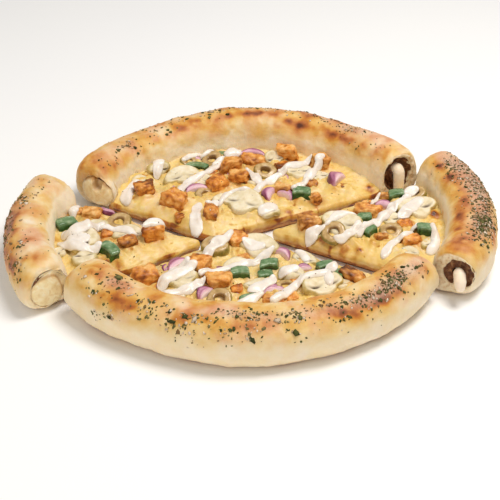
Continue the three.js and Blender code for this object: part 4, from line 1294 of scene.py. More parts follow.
# Further toppings: kind, reach and bearing from the tip, turn, size, tilt and lean.
EXTRA = {
    "back": [
        ("onion", 51, 105, 20, (15, 7, 7)), ("olive", 43, 97, 0, (16, 4), 12, 8),
        ("chicken", 18, 94, 75, (15, 11, 10)), ("chicken", 64, 47, -20, (14, 11, 10)),
        ("onion", 63, 41, -40, (12, 6, 8)), ("chicken", 76, 30.5, 35, (10, 9, 9)),
        ("mushroom", 95, 43, 10, (16, 5), 10, 6), ("chicken", 101, 32, 30, (7, 6, 5)),
        ("mushroom", 97, 66, 20, (16, 5), 40), ("mushroom", 41, 34, -10, (18, 4), 8),
        ("chicken", 28, 140, 15, (9, 8, 6)), ("olive", 88, 103, 0, (12, 4), 14, 16),
        ("mushroom", 60, 99, 0, (17, 5), 12), ("chicken", 94, 84, 20, (10, 8, 8)),
        ("mushroom", 66, 68, 30, (16, 5), 10), ("onion", 83, 57, -30, (13, 6, 5)),
        ("chicken", 45, 66, 15, (9, 8, 6)), ("mushroom", 80, 130, 40, (13, 5), 8),
        ("chicken", 52, 121, 20, (9, 7, 6)), ("chicken", 90, 60, 10, (10, 9, 8)),
        ("onion", 60, 118, -30, (11, 5, 4)), ("chicken", 84, 40, 0, (9, 8, 7)),
        ("pepper", 98, 88, 10, (8, 5, 5)), ("mushroom", 34, 84, 30, (13, 5), 16),
        ("chicken", 71, 92, 30, (9, 8, 7)), ("onion", 93, 100, 10, (11, 5, 5)),
    ],
    "left": [
        ("onion", 66, 158.5, 150, (11, 5, 7)), ("olive", 53.5, 165, 0, (17, 4.5), 12),
        ("mushroom", 44, 182, 10, (21, 6), 12), ("chicken", 58.5, 181, 30, (9, 8, 8)),
        ("mushroom", 74, 203, 190, (17, 7), -10), ("mushroom", 64, 172, -20, (15, 5), 10),
        ("chicken", 84, 163, 20, (10, 8, 8)), ("onion", 48, 174, 20, (10, 5, 4)),
        ("mushroom", 87, 195, 70, (14, 6)), ("chicken", 62, 190, 50, (9, 7, 6)),
    ],
    "front": [
        ("onion", 52, 230, 35, (17, 8, 7)), ("olive", 28, 247, 0, (17, 9), 12),
        ("onion", 73, 256.5, 50, (12, 7, 8)), ("pepper", 51.5, 275, 5, (11, 7, 9)),
        ("mushroom", 28, 304, -15, (26, 6), 14), ("onion", 43, 316, -40, (11, 6, 8)),
        ("mushroom", 56, 320, -25, (17, 5), 8), ("pepper", 82, 319.5, 40, (9, 7, 8)),
        ("onion", 69, 290, 10, (13, 6, 6)), ("chicken", 80, 286.5, 5, (15, 9, 8)),
        ("chicken", 81, 295, 20, (10, 7, 7)), ("pepper", 75, 277, 20, (12, 5, 6)),
        ("pepper", 56, 290, 10, (9, 6, 7)), ("chicken", 57, 256, 20, (8, 7, 7)),
        ("mushroom", 41, 272, 20, (18, 5), 10), ("mushroom", 64, 283, 0, (17, 5), 6),
        ("onion", 46, 262, -20, (13, 6, 5)), ("mushroom", 78, 246, 30, (16, 5), 6),
        ("chicken", 67, 272, 20, (9, 8, 7)), ("mushroom", 38, 240, 30, (14, 4), 8),
        ("chicken", 72, 302, 0, (9, 7, 7)), ("onion", 61, 313, 15, (10, 6, 6)),
        ("mushroom", 88, 316, 10, (14, 5)), ("chicken", 62, 252, 40, (8, 7, 6)),
        ("olive", 70, 296, 0, (12, 5), 10), ("chicken", 33, 280, 20, (9, 7, 6)),
    ],
    "right": [
        ("olive", 39, -18, 0, (17, 5), 26, -8), ("onion", 75, 17, -10, (12, 7, 8)),
        ("chicken", 80, 24, 0, (7, 6, 9)), ("olive", 99, 20, 0, (15, 6), 20, -10),
        ("pepper", 57.5, 6, 20, (10, 6, 8)), ("pepper", 60, -10, 50, (10, 6, 9)),
        ("chicken", 83, 0, 10, (11, 8, 7)), ("chicken", 69, -13, 20, (11, 8, 7)),
        ("mushroom", 50, -13, 60, (16, 5), 0, 8), ("onion", 50, 10, 20, (12, 6, 5)),
        ("mushroom", 98, -13, 40, (14, 5)), ("mushroom", 74, 4, 10, (16, 5), 12),
        ("mushroom", 30, -17, 60, (12, 4)), ("chicken", 66, 24, 20, (9, 7, 6)),
        ("chicken", 82, 12, 30, (9, 7, 6)), ("mushroom", 88, -21, -20, (13, 5), 8),
    ],
}


def cheese_level(name, x, y):
    """Height of the cheese before any topping presses on it: its plane, its slow waves and small
    lumps, falling away to the cuts and creeping a little up the rim."""
    (tx, ty), first, last, (dx, dy) = PIECES[name]
    x, y = x - dx, y - dy
    flat = np.stack([x, y, 0 * x + 5], -1)
    a, b = math.radians(first), math.radians(last)
    inside = np.minimum(-(x - tx) * math.sin(a) + (y - ty) * math.cos(a),
                        (x - tx) * math.sin(b) - (y - ty) * math.cos(b))
    level = CHEESE_TOP + cheese_wave(x, y) + 0.8 * grain(flat, 14, 41) + 0.5 * grain(flat, 6, 42)
    level = level - 3.4 * np.exp(-np.maximum(inside, 0) / 3.4)
    creep = 1.8 * np.exp(-np.maximum(RIM_INSIDE + 0.5 - np.hypot(x, y), 0) / 1.7)
    return level + creep * (1 + 0.5 * grain(flat, 7, 43)), inside


def scatter_bits(name, count, margin, seed):
    """Small torn bits between the larger toppings: even over the piece inside a margin from its
    cuts, of mixed kinds, 3.5 to 8 mm long. They come as rows of the list above."""
    _, first, last, pull = PIECES[name]
    dice = np.random.default_rng(seed)
    rows = []
    while len(rows) < count:
        reach, bearing = 100 * math.sqrt(dice.uniform(0.03, 1.2)), dice.uniform(first, last)
        long, kind = dice.uniform(3.5, 8), dice.choice(["chicken", "onion", "mushroom", "pepper"],
                                                       p=[0.42, 0.2, 0.28, 0.1])
        turn = dice.uniform(0, 180)
        x, y = from_tip(name, reach, bearing)
        inside = cheese_level(name, np.array(x), np.array(y))[1]
        if inside < margin or math.hypot(x - pull[0], y - pull[1]) > RIM_INSIDE - 5:
            continue
        size = {"mushroom": (1.5 * long, 3.5), "pepper": (0.8 * long, 3, 3)}.get(
            kind, (long, 0.7 * long, 0.6 * long))
        rows.append((str(kind), reach, bearing, turn, size))
    return rows


for seed, (piece, count, margin) in enumerate((("back", 34, 12), ("left", 12, 7), ("front", 34, 7),
                                               ("right", 22, 8))):
    EXTRA[piece] += scatter_bits(piece, count, margin, 70 + seed)

# How deep a topping sinks into the cheese, in mm.
BEDDED = 2.0


def toppings():
    """Every topping's node (none for a further one), kind, piece, place, turn, size and lean."""
    for piece, rows in LAID.items():
        for index, (kind, turn, size, *lean) in enumerate(rows):
            node = f"{kind}_{piece}_{index + 1}"
            low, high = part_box(node)
            x, y = (0.5 / MM * (low[k] + high[k]) for k in (0, 1))
            yield node, kind, piece, x, y, turn, size, lean
    for piece, rows in EXTRA.items():
        for kind, reach, bearing, turn, size, *lean in rows:
            yield None, kind, piece, *from_tip(piece, reach, bearing), turn, size, lean


# Every laid topping's points and kind, for the cheese and sauce, and the further ones by kind.
finished, loose = [], {}
for index, (node, kind, piece, x, y, turn, size, lean) in enumerate(toppings()):
    shaper, material = SHAPERS[kind]
    # Small further ones have fewer faces.
    coarse = {}
    if kind == "mushroom" and not node:
        coarse = {"count": 64 if size[0] > 8 else 40}
    elif kind != "olive" and size[0] <= 8:
        coarse = {"count": 9}
    points, faces, marks = shaper(size, index + 1, **coarse)
    middle = (points[:, 2].min() + points[:, 2].max()) / 2
    points = turned_to(points - [0, 0, middle], turn, *lean)
    level = cheese_level(piece, np.array(x), np.array(y))[0]
    points = points - [0, 0, points[:, 2].min()] + [x, y, level - BEDDED]
    finished.append((points, kind))
    if node:
        put(f"laid_{node}", [(points, faces, marks)], material, [node])
    else:
        loose.setdefault(kind, []).append((points, faces, marks))
for kind, shells in loose.items():
    put(f"scattered_{kind}", shells, SHAPERS[kind][1])


# ---------------------------------------------------------------- melted cheese

# Baked blisters: reach and bearing from the tip, radius, rise and toast.
BLISTERS = {
    "back": [
        (55, 28.5, 3.2, 0.7, 0.5), (118, 28.5, 4, 0.8, 0.6), (64, 34, 3.5, 0.4, 0.4),
        (93, 31, 4.5, 0.5, 0.2), (100, 36, 3.6, 0.5, 0.25), (60, 143, 3.2, 0.4, 0.22),
        (48, 146, 3, 0.4, 0.2), (14, 95, 3, 0.4, 0.4), (78, 68, 4, 0.3, 0.3), (98, 125, 4, 0.3, 0.2),
        (70, 100, 4, 0.3, 0.15), (30, 138, 3, 0.4, 0.3),
    ],
    "left": [
        (56, 212, 3.6, 0.6, 0.5), (90, 183, 3.5, 0.4, 0.45), (66, 207, 3.4, 0.4, 0.3),
        (70, 158, 4, 0.4, 0.2), (24, 205, 4, 0.2, 0.15), (38, 206, 4, 0.3, 0.1),
    ],
    "front": [
        (18, 232, 4, 0.4, 0.3), (92, 280, 4, 0.3, 0.2), (48, 326, 4, 0.3, 0.15),
    ],
    "right": [
        (33, -24, 3.2, 0.6, 0.45), (48, -27, 3.6, 0.6, 0.5), (58, -26, 3.4, 0.6, 0.5),
        (104, 6, 4.2, 0.8, 0.7), (82, -1, 4, 0.5, 0.4), (77, 5, 3, 0.4, 0.4), (100, 22, 3, 0.4, 0.35),
        (63, -19, 3.4, 0.4, 0.25), (70, 27, 3.5, 0.4, 0.2),
    ],
}


def shape_cheese(name):
    """Cheese of one piece: the outline drawn in to its middle in rings on top, then rolled over
    the cut edge and hanging down the side to an uneven lip, turned in under and drawn in to the
    middle again. It is banked up round each topping and raised in blisters."""
    line, cut = slice_outline(name, 0.2, RIM_INSIDE + 1.6, 0.85, 2.4)
    middle, side = line.mean(0), outline_normals(line)
    dx, dy = PIECES[name][3]
    shares = np.concatenate([np.linspace(0.02, 0.78, 58), np.linspace(0.79, 1, 20)])[:, None, None]
    top = middle + shares * (line - middle) + [dx, dy]
    x, y = top[..., 0], top[..., 1]
    level, inside = cheese_level(name, x, y)
    near, oil = np.zeros_like(level), np.zeros_like(level)
    for places, kind in finished:
        low, high = places.min(0), places.max(0)
        px, py = (low[0] + high[0]) / 2, (low[1] + high[1]) / 2
        if np.hypot(x - px, y - py).min() < 12:
            wide = (high - low)[:2] / 2
            apart = np.hypot((x - px) / wide[0], (y - py) / wide[1]) - 0.85
            close = np.exp(-(np.maximum(apart, 0) * wide.mean() / 3.0) ** 2)
            near = np.maximum(near, close)
            if kind == "chicken" and wide.mean() > 4.5:
                oil = np.maximum(oil, close)
    toast = np.zeros_like(level)
    for reach, bearing, radius, rise, strength in BLISTERS[name]:
        px, py = from_tip(name, reach, bearing)
        bump = hump(np.hypot(x - px, y - py), 0, radius)
        level = level + rise * bump
        toast = toast + strength * bump
    flat = np.stack([x, y, level], -1)
    clots = grain(flat, 3.2, 51)
    level = level + 2.5 * near * ease(inside, 0, 5) * (1 + 0.35 * clots) + 0.35 * clots
    # Painted shade: a ring of darker toast hugs each topping, partly juice and partly the shade between
    # toppings.
    toast = toast * (1 + 0.5 * grain(flat, 3, 45)) + 0.06 + 0.15 * near ** 3
    toast = toast + 0.1 * grain(flat, 9, 46) + 0.4 * ease(grain(flat, 3.2, 47), 0.5, 0.85)
    toast = toast + 0.06 * (1 - ease(inside, 0, 6)) * cut - 0.05 * clots
    toast = toast + 0.3 * ease(grain(flat, 5, 52), 0.62, 0.95)
    flat = np.stack([x, y, level], -1)
    edge = flat[-1]
    hang = np.linspace(0, 1, 13)[1:, None]
    lip = 3.6 + 1.9 * grain(edge, 9, 47) + 1.0 * grain(edge, 4, 48)
    lip = np.clip(lip, 1.0, 6.2) * cut + CHEESE_BOTTOM * (1 - cut)
    fall = edge[:, 2] + (lip - edge[:, 2]) * hang
    bulge = (1.7 * np.sin(np.pi * np.clip(hang * 1.02, 0, 1) ** 0.75) + 0.9 * hang) * cut
    bulge = bulge * (1 + 0.7 * grain(edge, 11, 53))
    straight = np.stack(np.broadcast_arrays(edge[:, 0], edge[:, 1], fall), -1)
    bulge = bulge + 0.35 * grain(straight, 4, 49) * cut
    draped = np.concatenate([edge[None, :, :2] + (bulge * 0.8)[..., None] * side, fall[..., None]], -1)
    under = []
    for inset, height in ((0.35, -0.35), (-0.2, -0.15), (-0.55, 1.2)):
        under.append(np.concatenate([edge[:, :2] + (inset * cut)[:, None] * side,
                                     np.minimum(lip + height, CHEESE_BOTTOM)[:, None]], -1))
    for share in (0.97, 0.7, 0.4, 0.1):
        ring = middle + share * (line - middle) + [dx, dy]
        under.append(np.concatenate([ring, np.full((len(line), 1), CHEESE_BOTTOM - 0.1)], -1))
    grid = np.concatenate([flat, draped, np.array(under)])
    # The hanging lip darkens towards its foot and in patches: partly baked brown, partly painted shade
    # of the gap between pieces.
    lip_brown_and_shade = 0.1 + 0.34 * ease(hang, 0.45, 1) * cut
    lip_brown_and_shade = lip_brown_and_shade + 0.34 * ease(lumpy(draped, 13, 50), -0.05, 0.5) * cut
    lip_brown_and_shade = lip_brown_and_shade + toast[-1] * (1 - hang * 0.4) + {"back": 0.05, "right": -0.12}.get(name, 0)
    marks = np.concatenate([toast, lip_brown_and_shade, np.repeat(lip_brown_and_shade[-1:], len(under), 0)])
    start, end = flat[0].mean(0), [middle[0] + dx, middle[1] + dy, CHEESE_BOTTOM - 0.1]
    oil = 0.6 * oil ** 2 * ease(grain(flat, 4, 54), -0.5, 0.5)
    oil = np.concatenate([oil, np.zeros((len(grid) - len(oil), len(line)))])
    return tube_shell(grid, {"toast": np.clip(marks, 0, 1), "oil": oil}, start, end)


CHEESES = {}
for piece in PIECES:
    CHEESES[piece] = shape_cheese(piece)
    put(f"melted_cheese_{piece}", [CHEESES[piece]], CHEESE, [f"cheese_{piece}"])


# ---------------------------------------------------------------- sauce

# Cells of the height fields in mm, their corner and how many there are.
CELL = 0.5
FIELD_LOW = np.array([-160.0, -140.0])
FIELD_SIZE = (640, 560)


def height_field(clouds):
    """Highest point of everything laid so far in each half-millimetre cell, with gaps filled from
    their neighbours."""
    field = np.zeros(FIELD_SIZE)
    for points in clouds:
        cell = ((points[:, :2] - FIELD_LOW) / CELL).astype(int)
        np.maximum.at(field, (cell[:, 0], cell[:, 1]), points[:, 2])
    for _ in range(2):
        around = [np.roll(field, (i, j), (0, 1)) for i in (-1, 0, 1) for j in (-1, 0, 1)]
        field = np.where(field > 0, field, np.max(around, 0))
    return field


def softened(field, passes):
    """The field with each cell taking the mean of its neighbourhood, so many times over."""
    for _ in range(passes):
        field = sum(np.roll(field, k, 0) for k in (-1, 0, 1)) / 3
        field = sum(np.roll(field, k, 1) for k in (-1, 0, 1)) / 3
    return field


def field_at(field, x, y):
    """Height of the field between its cells, blended from the four round a point."""
    u = np.clip((x - FIELD_LOW[0]) / CELL - 0.5, 0, FIELD_SIZE[0] - 2)
    v = np.clip((y - FIELD_LOW[1]) / CELL - 0.5, 0, FIELD_SIZE[1] - 2)
    i, j = u.astype(int), v.astype(int)
    a, b = u - i, v - j
    return ((1 - a) * ((1 - b) * field[i, j] + b * field[i, j + 1])
            + a * ((1 - b) * field[i + 1, j] + b * field[i + 1, j + 1]))


# What the sauce lies on: the highest ground, widened by a millimetre and softened.
clouds = [places for places, _ in finished] + [shell[0] for shell in CHEESES.values()]
GROUND = height_field(clouds)
RAISED = np.max([np.roll(GROUND, (i, j), (0, 1)) for i in (-2, 0, 2) for j in (-2, 0, 2)], 0)
DRAPED = softened(RAISED, 5)

# Ribbons and blobs of sauce: thickness, then reach, bearing and half width at each stop.
RIBBONS = {
    "back": [
        (2.4, [(45, 121, 2.2), (50, 117, 3.2), (56, 110, 3.6), (62, 102, 3.6), (68, 95, 3.6),
               (74, 91, 3.4), (80, 88, 2.4)]),
        (1.7, [(86, 106, 1.6), (90, 103, 2.3), (95, 99, 2.4), (98, 96, 1.6)]),
        (1.7, [(80, 92, 1.6), (84, 89, 2.4), (88, 86, 2)]),
        (2.6, [(67, 148, 2.8), (72, 144, 4.4), (76, 139, 4.4), (78, 131, 2.6)]),
        (2.2, [(90, 97, 1.8), (94, 94.5, 2.9), (98, 91, 2.4)]),
        (4.2, [(87, 85, 3.6), (92, 84, 6), (98, 82, 6), (102, 81, 4)]),
        (2.3, [(26, 83, 1.8), (34, 79, 2.7), (39.5, 75, 3), (41.5, 69, 3), (42.5, 62, 2.8),
               (50, 60, 2.7), (60, 60.5, 2.8), (69, 59, 2.8), (77, 57, 2.6), (84, 54.6, 1.8)]),
        (2.4, [(66, 39, 2), (73, 42, 3), (81, 43, 3.3), (90, 45, 3.3), (98, 46, 3), (104, 46, 2)]),
        (2.3, [(80, 58, 2.2), (87, 56, 3.4), (95, 53, 3.4), (104, 51, 2.4)]),
        (2.4, [(34, 32.5, 2.8), (41, 34, 4.6), (49, 33, 3.2)]),
        (2.2, [(100, 47, 2.6), (105, 47.5, 4), (109, 47, 2.6)]),
        (1.3, [(10.5, 168, 3), (12, 150, 4.2), (19, 128, 4.4), (28, 114, 3.6), (35, 106, 2)]),
        (1.8, [(23, 103, 2), (27, 92, 3), (30, 84, 2)]),
        (2.4, [(62, 60, 2), (66, 66, 3.6), (64, 72, 2.4)]),
        (1.1, [(75, 123, 2), (79, 119.8, 3.6), (84, 117.4, 4), (88, 114.5, 2.6)]),
    ],
    "left": [
        (2.6, [(83, 168, 2.4), (85, 163, 3.4), (85, 158, 2.4)]),
        (2.4, [(60, 172, 2.4), (65, 176, 3.4), (71, 181, 4.6), (79, 182, 5), (86, 180, 3.6)]),
        (2.2, [(87, 186, 3), (82, 191, 3.8), (75, 195, 4.2), (68, 198, 4), (61, 198, 2.6)]),
        (1.5, [(82, 187, 3.6), (75, 189, 5.6), (67, 189, 4.2)]),
        (2, [(63, 177, 2.2), (57, 176, 2.9), (51, 178.5, 3), (44, 181, 3), (39, 190, 2)]),
        (2.6, [(35, 191, 2.2), (31, 184, 4.2), (25, 180, 4.4), (21, 182, 2.4)]),
    ],
    "front": [
        (2.4, [(84, 238, 2.6), (80, 244, 3.6), (74, 249, 3.6), (68, 252, 3.2), (62, 255, 2.2)]),
        (1.7, [(80, 238, 2.4), (73, 238, 4.2), (65, 240, 4.8), (58, 243, 4), (53, 247, 2.4)]),
        (1.8, [(66, 233, 2), (58, 236, 3), (52, 241, 2.2)]),
        (1.8, [(43, 243, 2), (36, 245, 3.6), (28, 249, 4.2), (20, 256, 3.8), (13, 266, 2.2)]),
        (2, [(59, 250, 1.8), (52, 257, 2.5), (47, 264, 2.8), (43, 272, 2.8), (40, 283, 2.9),
             (38, 296, 2.9), (37, 312, 2)]),
        (2.2, [(89, 268, 2.2), (83, 272, 3.2), (78, 278, 3.2), (74, 284, 2.2)]),
        (2.3, [(84, 285, 2.2), (80, 290, 3.2), (76, 295, 3.3), (74, 300, 3.4), (73, 305, 3.4),
               (75, 310, 3.5), (77, 315, 3.5), (77, 319, 3.2), (76, 323, 2.2)]),
        (2, [(77, 317, 2.2), (82, 313, 2.9), (87, 310, 2)]),
        (1.8, [(70, 277, 2.2), (67, 283, 4.4), (64, 290, 3.6), (60, 294, 2)]),
        (1.9, [(61, 296, 2.2), (62, 302, 4.2), (65, 307, 2.8)]),
        (1.8, [(60, 318, 2.2), (54, 321, 2.8), (47, 322, 1.8)]),
        (1.4, [(21, 284, 2), (27, 296, 3.6), (32, 308, 2.6)]),
    ],
    "right": [
        (1.6, [(33, -14, 2.6), (27, -22, 4.2), (25.5, -30, 4.4), (25, -36, 3.4)]),
        (2, [(33, -15, 2), (36, -4, 2.9), (41, 4, 3.3), (47, 7, 3.2), (53, 5, 2.2)]),
        (1.8, [(40, -25, 1.8), (46, -23, 2.7), (50, -15, 2.7), (54, -5, 2)]),
        (1.8, [(41, 12, 1.8), (47, 13.5, 2.6), (51, 13, 1.8)]),
        (2.5, [(54, -17, 2.2), (57, -9, 3.2), (62, -2, 3.6), (67, 3, 3.7), (73, 7.5, 3.7),
               (79, 12, 3.7), (85, 15.5, 3.6), (91, 17.5, 3.3), (95, 18.5, 2.2)]),
        (1.6, [(66, 18, 1.3), (72, 23, 1.9), (78, 26, 1.3)]),
        (2.2, [(74, -27.5, 2.6), (74, -22, 3.3), (77, -16, 3.3), (82, -12, 3.2), (87, -8, 2.2)]),
        (2, [(85, -6, 2), (91, -4, 2.9), (98, -2.5, 2.2)]),
        (2.2, [(99, -5, 2.4), (101, -10, 3.4), (101, -15, 3.3), (98, -19, 2.2)]),
        (2.4, [(91, 19, 2.6), (97, 20.5, 4), (102, 20, 2.6)]),
        (1.8, [(79, 3, 2.6), (86, 7, 4), (93, 11, 4.2), (99, 13, 2.8)]),
    ],
}


# Spacing of the points along a ribbon, in mm.
RIBBON_STEP = 0.6


def smooth_through(stops):
    """Evenly spaced points of a smooth curve through stops: a Catmull-Rom spline, each piece of it
    a cubic through two stops with slopes from their neighbours."""
    stops = np.asarray(stops, float)
    padded = np.concatenate([2 * stops[:1] - stops[1:2], stops, 2 * stops[-1:] - stops[-2:-1]])
    share = np.linspace(0, 1, 24, endpoint=False)[:, None]
    parts = []
    for a, b, c, d in zip(padded, padded[1:], padded[2:], padded[3:]):
        parts.append(0.5 * (2 * b + (c - a) * share + (2 * a - 5 * b + 4 * c - d) * share ** 2
                            + (3 * b - a - 3 * c + d) * share ** 3))
    curve = np.concatenate([*parts, stops[-1:]])
    length = np.concatenate([[0], np.cumsum(np.hypot(*np.diff(curve[:, :2], axis=0).T))])
    even = np.linspace(0, length[-1], max(8, int(length[-1] / RIBBON_STEP)))
    return np.stack([np.interp(even, length, curve[:, k]) for k in range(curve.shape[1])], -1)


def lay_ribbon(name, thick, stops, seed):
    """One ribbon of sauce. Its centre line is a smooth curve. Its crest follows the highest ground
    within reach, evened out along the line so that it bridges gaps, and across the line it falls
    to the ground on each side, but never steeply. The section is a low arch, the edges wander,
    and the ends are round."""
    places = np.array([(*from_tip(name, reach, bearing), wide) for reach, bearing, wide in stops])
    curve = smooth_through(places)
    line, wide = curve[:, :2], curve[:, 2]
    ahead = unit(np.gradient(line, axis=0))
    side = np.stack([-ahead[:, 1], ahead[:, 0]], -1)
    far = np.arange(len(line)) * RIBBON_STEP
    ends = np.clip(np.minimum(far, far[::-1]) / np.maximum(1.1 * wide, 1), 0, 1)
    round_end = np.sqrt(np.clip(1 - (1 - ends) ** 2, 0.001, 1))
    across = np.sin(np.linspace(-np.pi / 2, np.pi / 2, 19))
    wander = 0.92 + 0.28 * grain(np.stack([far, 0 * far + seed * 9.1, 0 * far], -1), 6, 91)
    half = (wide * wander * round_end)[:, None]
    x = line[:, :1] + half * across * side[:, :1]
    y = line[:, 1:] + half * across * side[:, 1:]
    ground = np.minimum(field_at(DRAPED, x, y), 30)
    crest = ground[:, 6:13].mean(1)
    for gather, reach in ((np.max, 3), (np.mean, 5)):
        padded = np.pad(crest, reach, mode="edge")
        crest = gather([padded[k:k + len(crest)] for k in range(2 * reach + 1)], 0)
    settled = ease(ends, 0.1, 0.7)
    crest = (crest * settled + ground[:, 9] * (1 - settled))[:, None]
    bed = np.clip(ground, crest - 0.9 - 2.6 * across ** 2, crest + 0.5)
    crown = 0.72 * thick * np.clip(1 - across ** 2, 0, 1) ** 0.66 * round_end[:, None]
    high = bed + crown * (1 + 0.16 * grain(np.stack([x, y, 0 * x + seed], -1), 4, 92))
    low = np.minimum(bed, ground) - 0.9 - 0.5 * (1 - across ** 2)
    upper = np.stack([x, y, high], -1)
    lower = np.stack([x, y, low], -1)[:, -2:0:-1]
    grid = np.concatenate([upper, lower], 1)
    return tube_shell(grid, {}, grid[0].mean(0), grid[-1].mean(0))


ribbons = [(piece, *row) for piece, rows in RIBBONS.items() for row in rows]
sauce_shells = [lay_ribbon(*row, seed) for seed, row in enumerate(ribbons)]
put("piped_sauce", sauce_shells, SAUCE)


# ---------------------------------------------------------------- herbs

# Clusters of flakes on the rim: bearing, turn, half widths in degrees, rough count, and size.
CLUSTERS = {
    "back": [
        (128, 108, 1.6, 8, 22, 1), (133, 104, 1.2, 7, 12, 1), (126, 124, 1, 6, 8, 1),
        (143, 118, 1.4, 9, 8, 0.9), (137, 128, 1.2, 8, 7, 0.9), (115, 88, 2.4, 12, 16, 1),
        (109, 110, 1.2, 8, 8, 1.1), (105, 84, 2.6, 14, 20, 0.9), (92, 92, 3.2, 14, 26, 1),
        (85, 66, 4, 18, 22, 1), (78, 64, 4, 16, 26, 0.9), (68, 70, 4, 18, 26, 0.9),
        (60, 76, 3, 16, 18, 0.9), (55, 84, 2.2, 14, 24, 1), (47, 100, 3, 13, 46, 0.9),
        (42, 86, 3.4, 18, 22, 0.8), (50, 60, 6, 24, 24, 0.8), (40, 134, 1, 6, 4, 1.2),
        (33, 108, 2.6, 16, 12, 0.7), (122, 96, 6, 26, 22, 0.8), (98, 70, 12, 22, 30, 0.8),
    ],
    "left": [
        (163, 26, 3, 16, 20, 1), (175, 78, 2.2, 9, 34, 1.1), (178, 44, 3, 12, 26, 1),
        (186, 42, 5, 16, 70, 1), (193, 36, 4, 14, 36, 0.9), (200, 72, 1.3, 7, 20, 1.1),
        (207, 40, 1.6, 9, 16, 1.2), (208, 62, 1.3, 7, 10, 1.1), (203, 24, 5, 14, 18, 0.9),
        (170, 60, 6, 22, 26, 0.8), (192, 84, 10, 26, 22, 0.7), (211, 24, 3, 14, 12, 0.8),
        (165, 90, 5, 22, 14, 0.7),
    ],
    "front": [
        (229, 44, 1.4, 6, 12, 1.1), (233, 88, 3.4, 12, 50, 1), (231, 8, 1.6, 5, 12, 1),
        (236, 14, 1.6, 5, 18, 1.1), (235, 32, 1.2, 6, 6, 1), (247, 76, 1.4, 8, 14, 1.1),
        (243, 66, 2, 10, 10, 1), (248, 54, 1.8, 9, 14, 1), (252, 74, 1.2, 7, 9, 1.2),
        (254, 40, 2, 7, 16, 1), (257, 38, 1.2, 5, 6, 1.3), (260, 60, 2, 8, 24, 1),
        (264, 64, 1.8, 8, 10, 0.9), (244, 40, 3, 10, 14, 0.9), (262, 30, 4, 8, 18, 0.8),
        (260, 14, 2, 10, 8, 0.7), (273, 44, 3.2, 9, 24, 1), (275, 30, 1, 4, 8, 1.4),
        (272, 80, 4, 8, 46, 0.9), (278, 80, 4, 9, 40, 0.9), (288, 70, 1.6, 7, 40, 1.1),
        (283, 62, 3, 8, 14, 0.9), (285, 40, 1.2, 5, 6, 1.2), (287, 20, 1.2, 5, 4, 1.1),
        (295, 84, 2.6, 8, 34, 1), (303, 78, 3.6, 10, 50, 0.9), (299, 40, 1.6, 6, 8, 1.2),
        (307, 70, 1.8, 8, 18, 1.1), (309, 48, 2.2, 8, 16, 1.1), (303, 30, 4, 12, 10, 0.9),
        (318, 72, 3.2, 12, 150, 1), (314, 66, 2.4, 10, 30, 1), (326, 56, 1.4, 8, 10, 1.1),
        (322, 50, 4, 14, 18, 0.8), (290, 56, 26, 20, 60, 0.7), (250, 56, 20, 20, 50, 0.7),
        (226, 70, 4, 18, 16, 0.8), (280, 16, 24, 14, 14, 0.6),
    ],
    "right": [
        (19, 96, 3, 13, 50, 0.9), (12, 84, 4, 18, 80, 0.9), (5, 74, 5, 18, 110, 0.9),
        (-3, 76, 4, 16, 90, 0.9), (-10, 76, 3.4, 14, 100, 1), (-14, 70, 3, 14, 110, 1.1),
        (8, 50, 10, 18, 70, 0.8), (-18, 54, 3, 14, 26, 1), (22, 70, 5, 22, 50, 0.8),
        (-12, 40, 5, 12, 30, 0.9), (-20, 76, 2.4, 12, 14, 0.9), (14, 110, 8, 12, 24, 0.7),
    ],
}


# Points round the edge of a flake.
FLAKE_SIDES = 5


def scatter_flakes(places, normals, sizes, tones, seed):
    """Dry flakes as low lenses: a ragged ring of points about each place, with one point above
    and one below, laid in the surface's own plane."""
    dice = np.random.default_rng(seed)
    count = len(places)
    along = unit(np.cross(normals, dice.normal(size=(count, 3))))
    across = np.cross(normals, along)
    each = (count, FLAKE_SIDES)
    turn = np.linspace(0, 2 * np.pi, FLAKE_SIDES, endpoint=False) + dice.uniform(-0.3, 0.3, each)
    long = sizes[:, None] * dice.uniform(0.7, 1.15, each)
    slim = dice.uniform(0.45, 0.85, (count, 1))
    tip_up = dice.uniform(-0.12, 0.3, each) * sizes[:, None]
    ring = (places[:, None] + (long * np.cos(turn))[..., None] * along[:, None]
            + (long * slim * np.sin(turn))[..., None] * across[:, None]
            + (tip_up + 0.12)[..., None] * normals[:, None])
    above = places + normals * (0.22 + 0.22 * sizes[:, None])
    below = places - normals * 0.25
    flake = np.concatenate([ring, above[:, None], below[:, None]], 1)
    k, corners = np.arange(FLAKE_SIDES), flake.shape[1]
    after, top, foot = (k + 1) % FLAKE_SIDES, 0 * k + FLAKE_SIDES, 0 * k + FLAKE_SIDES + 1
    fan = np.concatenate([np.stack([k, after, top], -1), np.stack([after, k, foot], -1)])
    faces = (fan[None] + corners * np.arange(count)[:, None, None]).reshape(-1, 3)
    return flake.reshape(-1, 3), [faces], {"tone": np.repeat(tones, corners)}


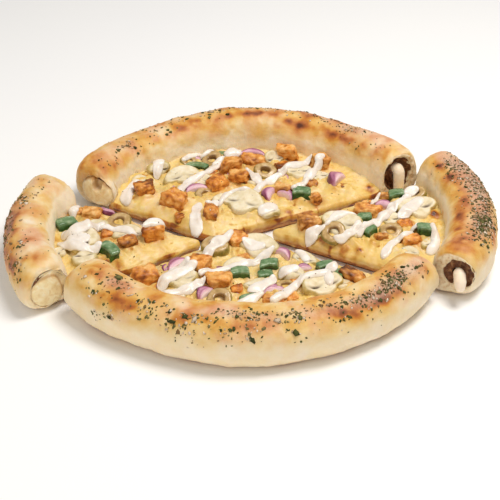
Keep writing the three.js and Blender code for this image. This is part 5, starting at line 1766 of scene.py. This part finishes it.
def flakes_on_rim():
    """Places, normals and sizes of the clusters' flakes, each drawn from a bell curve round its
    cluster and set on the nearest point of the rim."""
    dice = np.random.default_rng(5)
    found = []
    for piece, clusters in CLUSTERS.items():
        rows, turns, grid, normal = RIMS[piece]
        crowded = 1.3 if piece == "right" else 0.85
        for at, round_at, wide, tall, full, size in clusters:
            count = max(4, round(crowded * full))
            bearing = dice.normal(at, wide * 0.9, count)
            turn = dice.normal(round_at, tall * 0.9, count)
            i = np.abs(rows[None] - bearing[:, None]).argmin(1)
            j = np.abs((turns[None] - turn[:, None] + 180) % 360 - 180).argmin(1)
            keep = (bearing > rows[0] + 2) & (bearing < rows[-1] - 2)
            up = normal[i, j]
            jitter = dice.normal(0, 0.25, (count, 3))
            jitter -= (jitter * up).sum(1, keepdims=True) * up
            sizes = 1.2 * size * dice.lognormal(-0.4, 0.4, count)
            found.append(((grid[i, j] + jitter)[keep], up[keep], sizes[keep]))
    return [np.concatenate(values) for values in zip(*found)]


def flakes_on_top(count):
    """Places of loose flakes on cheese, toppings and sauce: even over the whole plate inside the
    rim, upright, and kept only where something lies below."""
    dice = np.random.default_rng(6)
    angle, reach = dice.uniform(0, 2 * np.pi, count), 100 * np.sqrt(dice.uniform(0.01, 1, count))
    x, y = reach * np.cos(angle) * 1.12, reach * np.sin(angle)
    field = height_field([*clouds, *[shell[0] for shell in sauce_shells]])
    z = field_at(field, x, y)
    steep = np.abs(z - field_at(field, x + 1, y)) + np.abs(z - field_at(field, x, y + 1))
    keep = (z > 9) & (steep < 1.2)
    places = np.stack([x, y, z], -1)[keep]
    upright = np.tile([0.0, 0.0, 1.0], (len(places), 1))
    return places, upright, 0.75 * dice.lognormal(-0.4, 0.35, len(places))


flakes = [np.concatenate(values) for values in zip(flakes_on_rim(), flakes_on_top(260))]
amount = len(flakes[0])
tones = np.random.default_rng(8)
flake_tones = np.clip(tones.normal(0.42, 0.26, amount), 0, 1)
flake_tones = np.where(tones.random(amount) < 0.24, tones.uniform(0.84, 1, amount), flake_tones)
put("rubbed_herbs", [scatter_flakes(*flakes, flake_tones, 9)], HERB)


low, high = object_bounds()
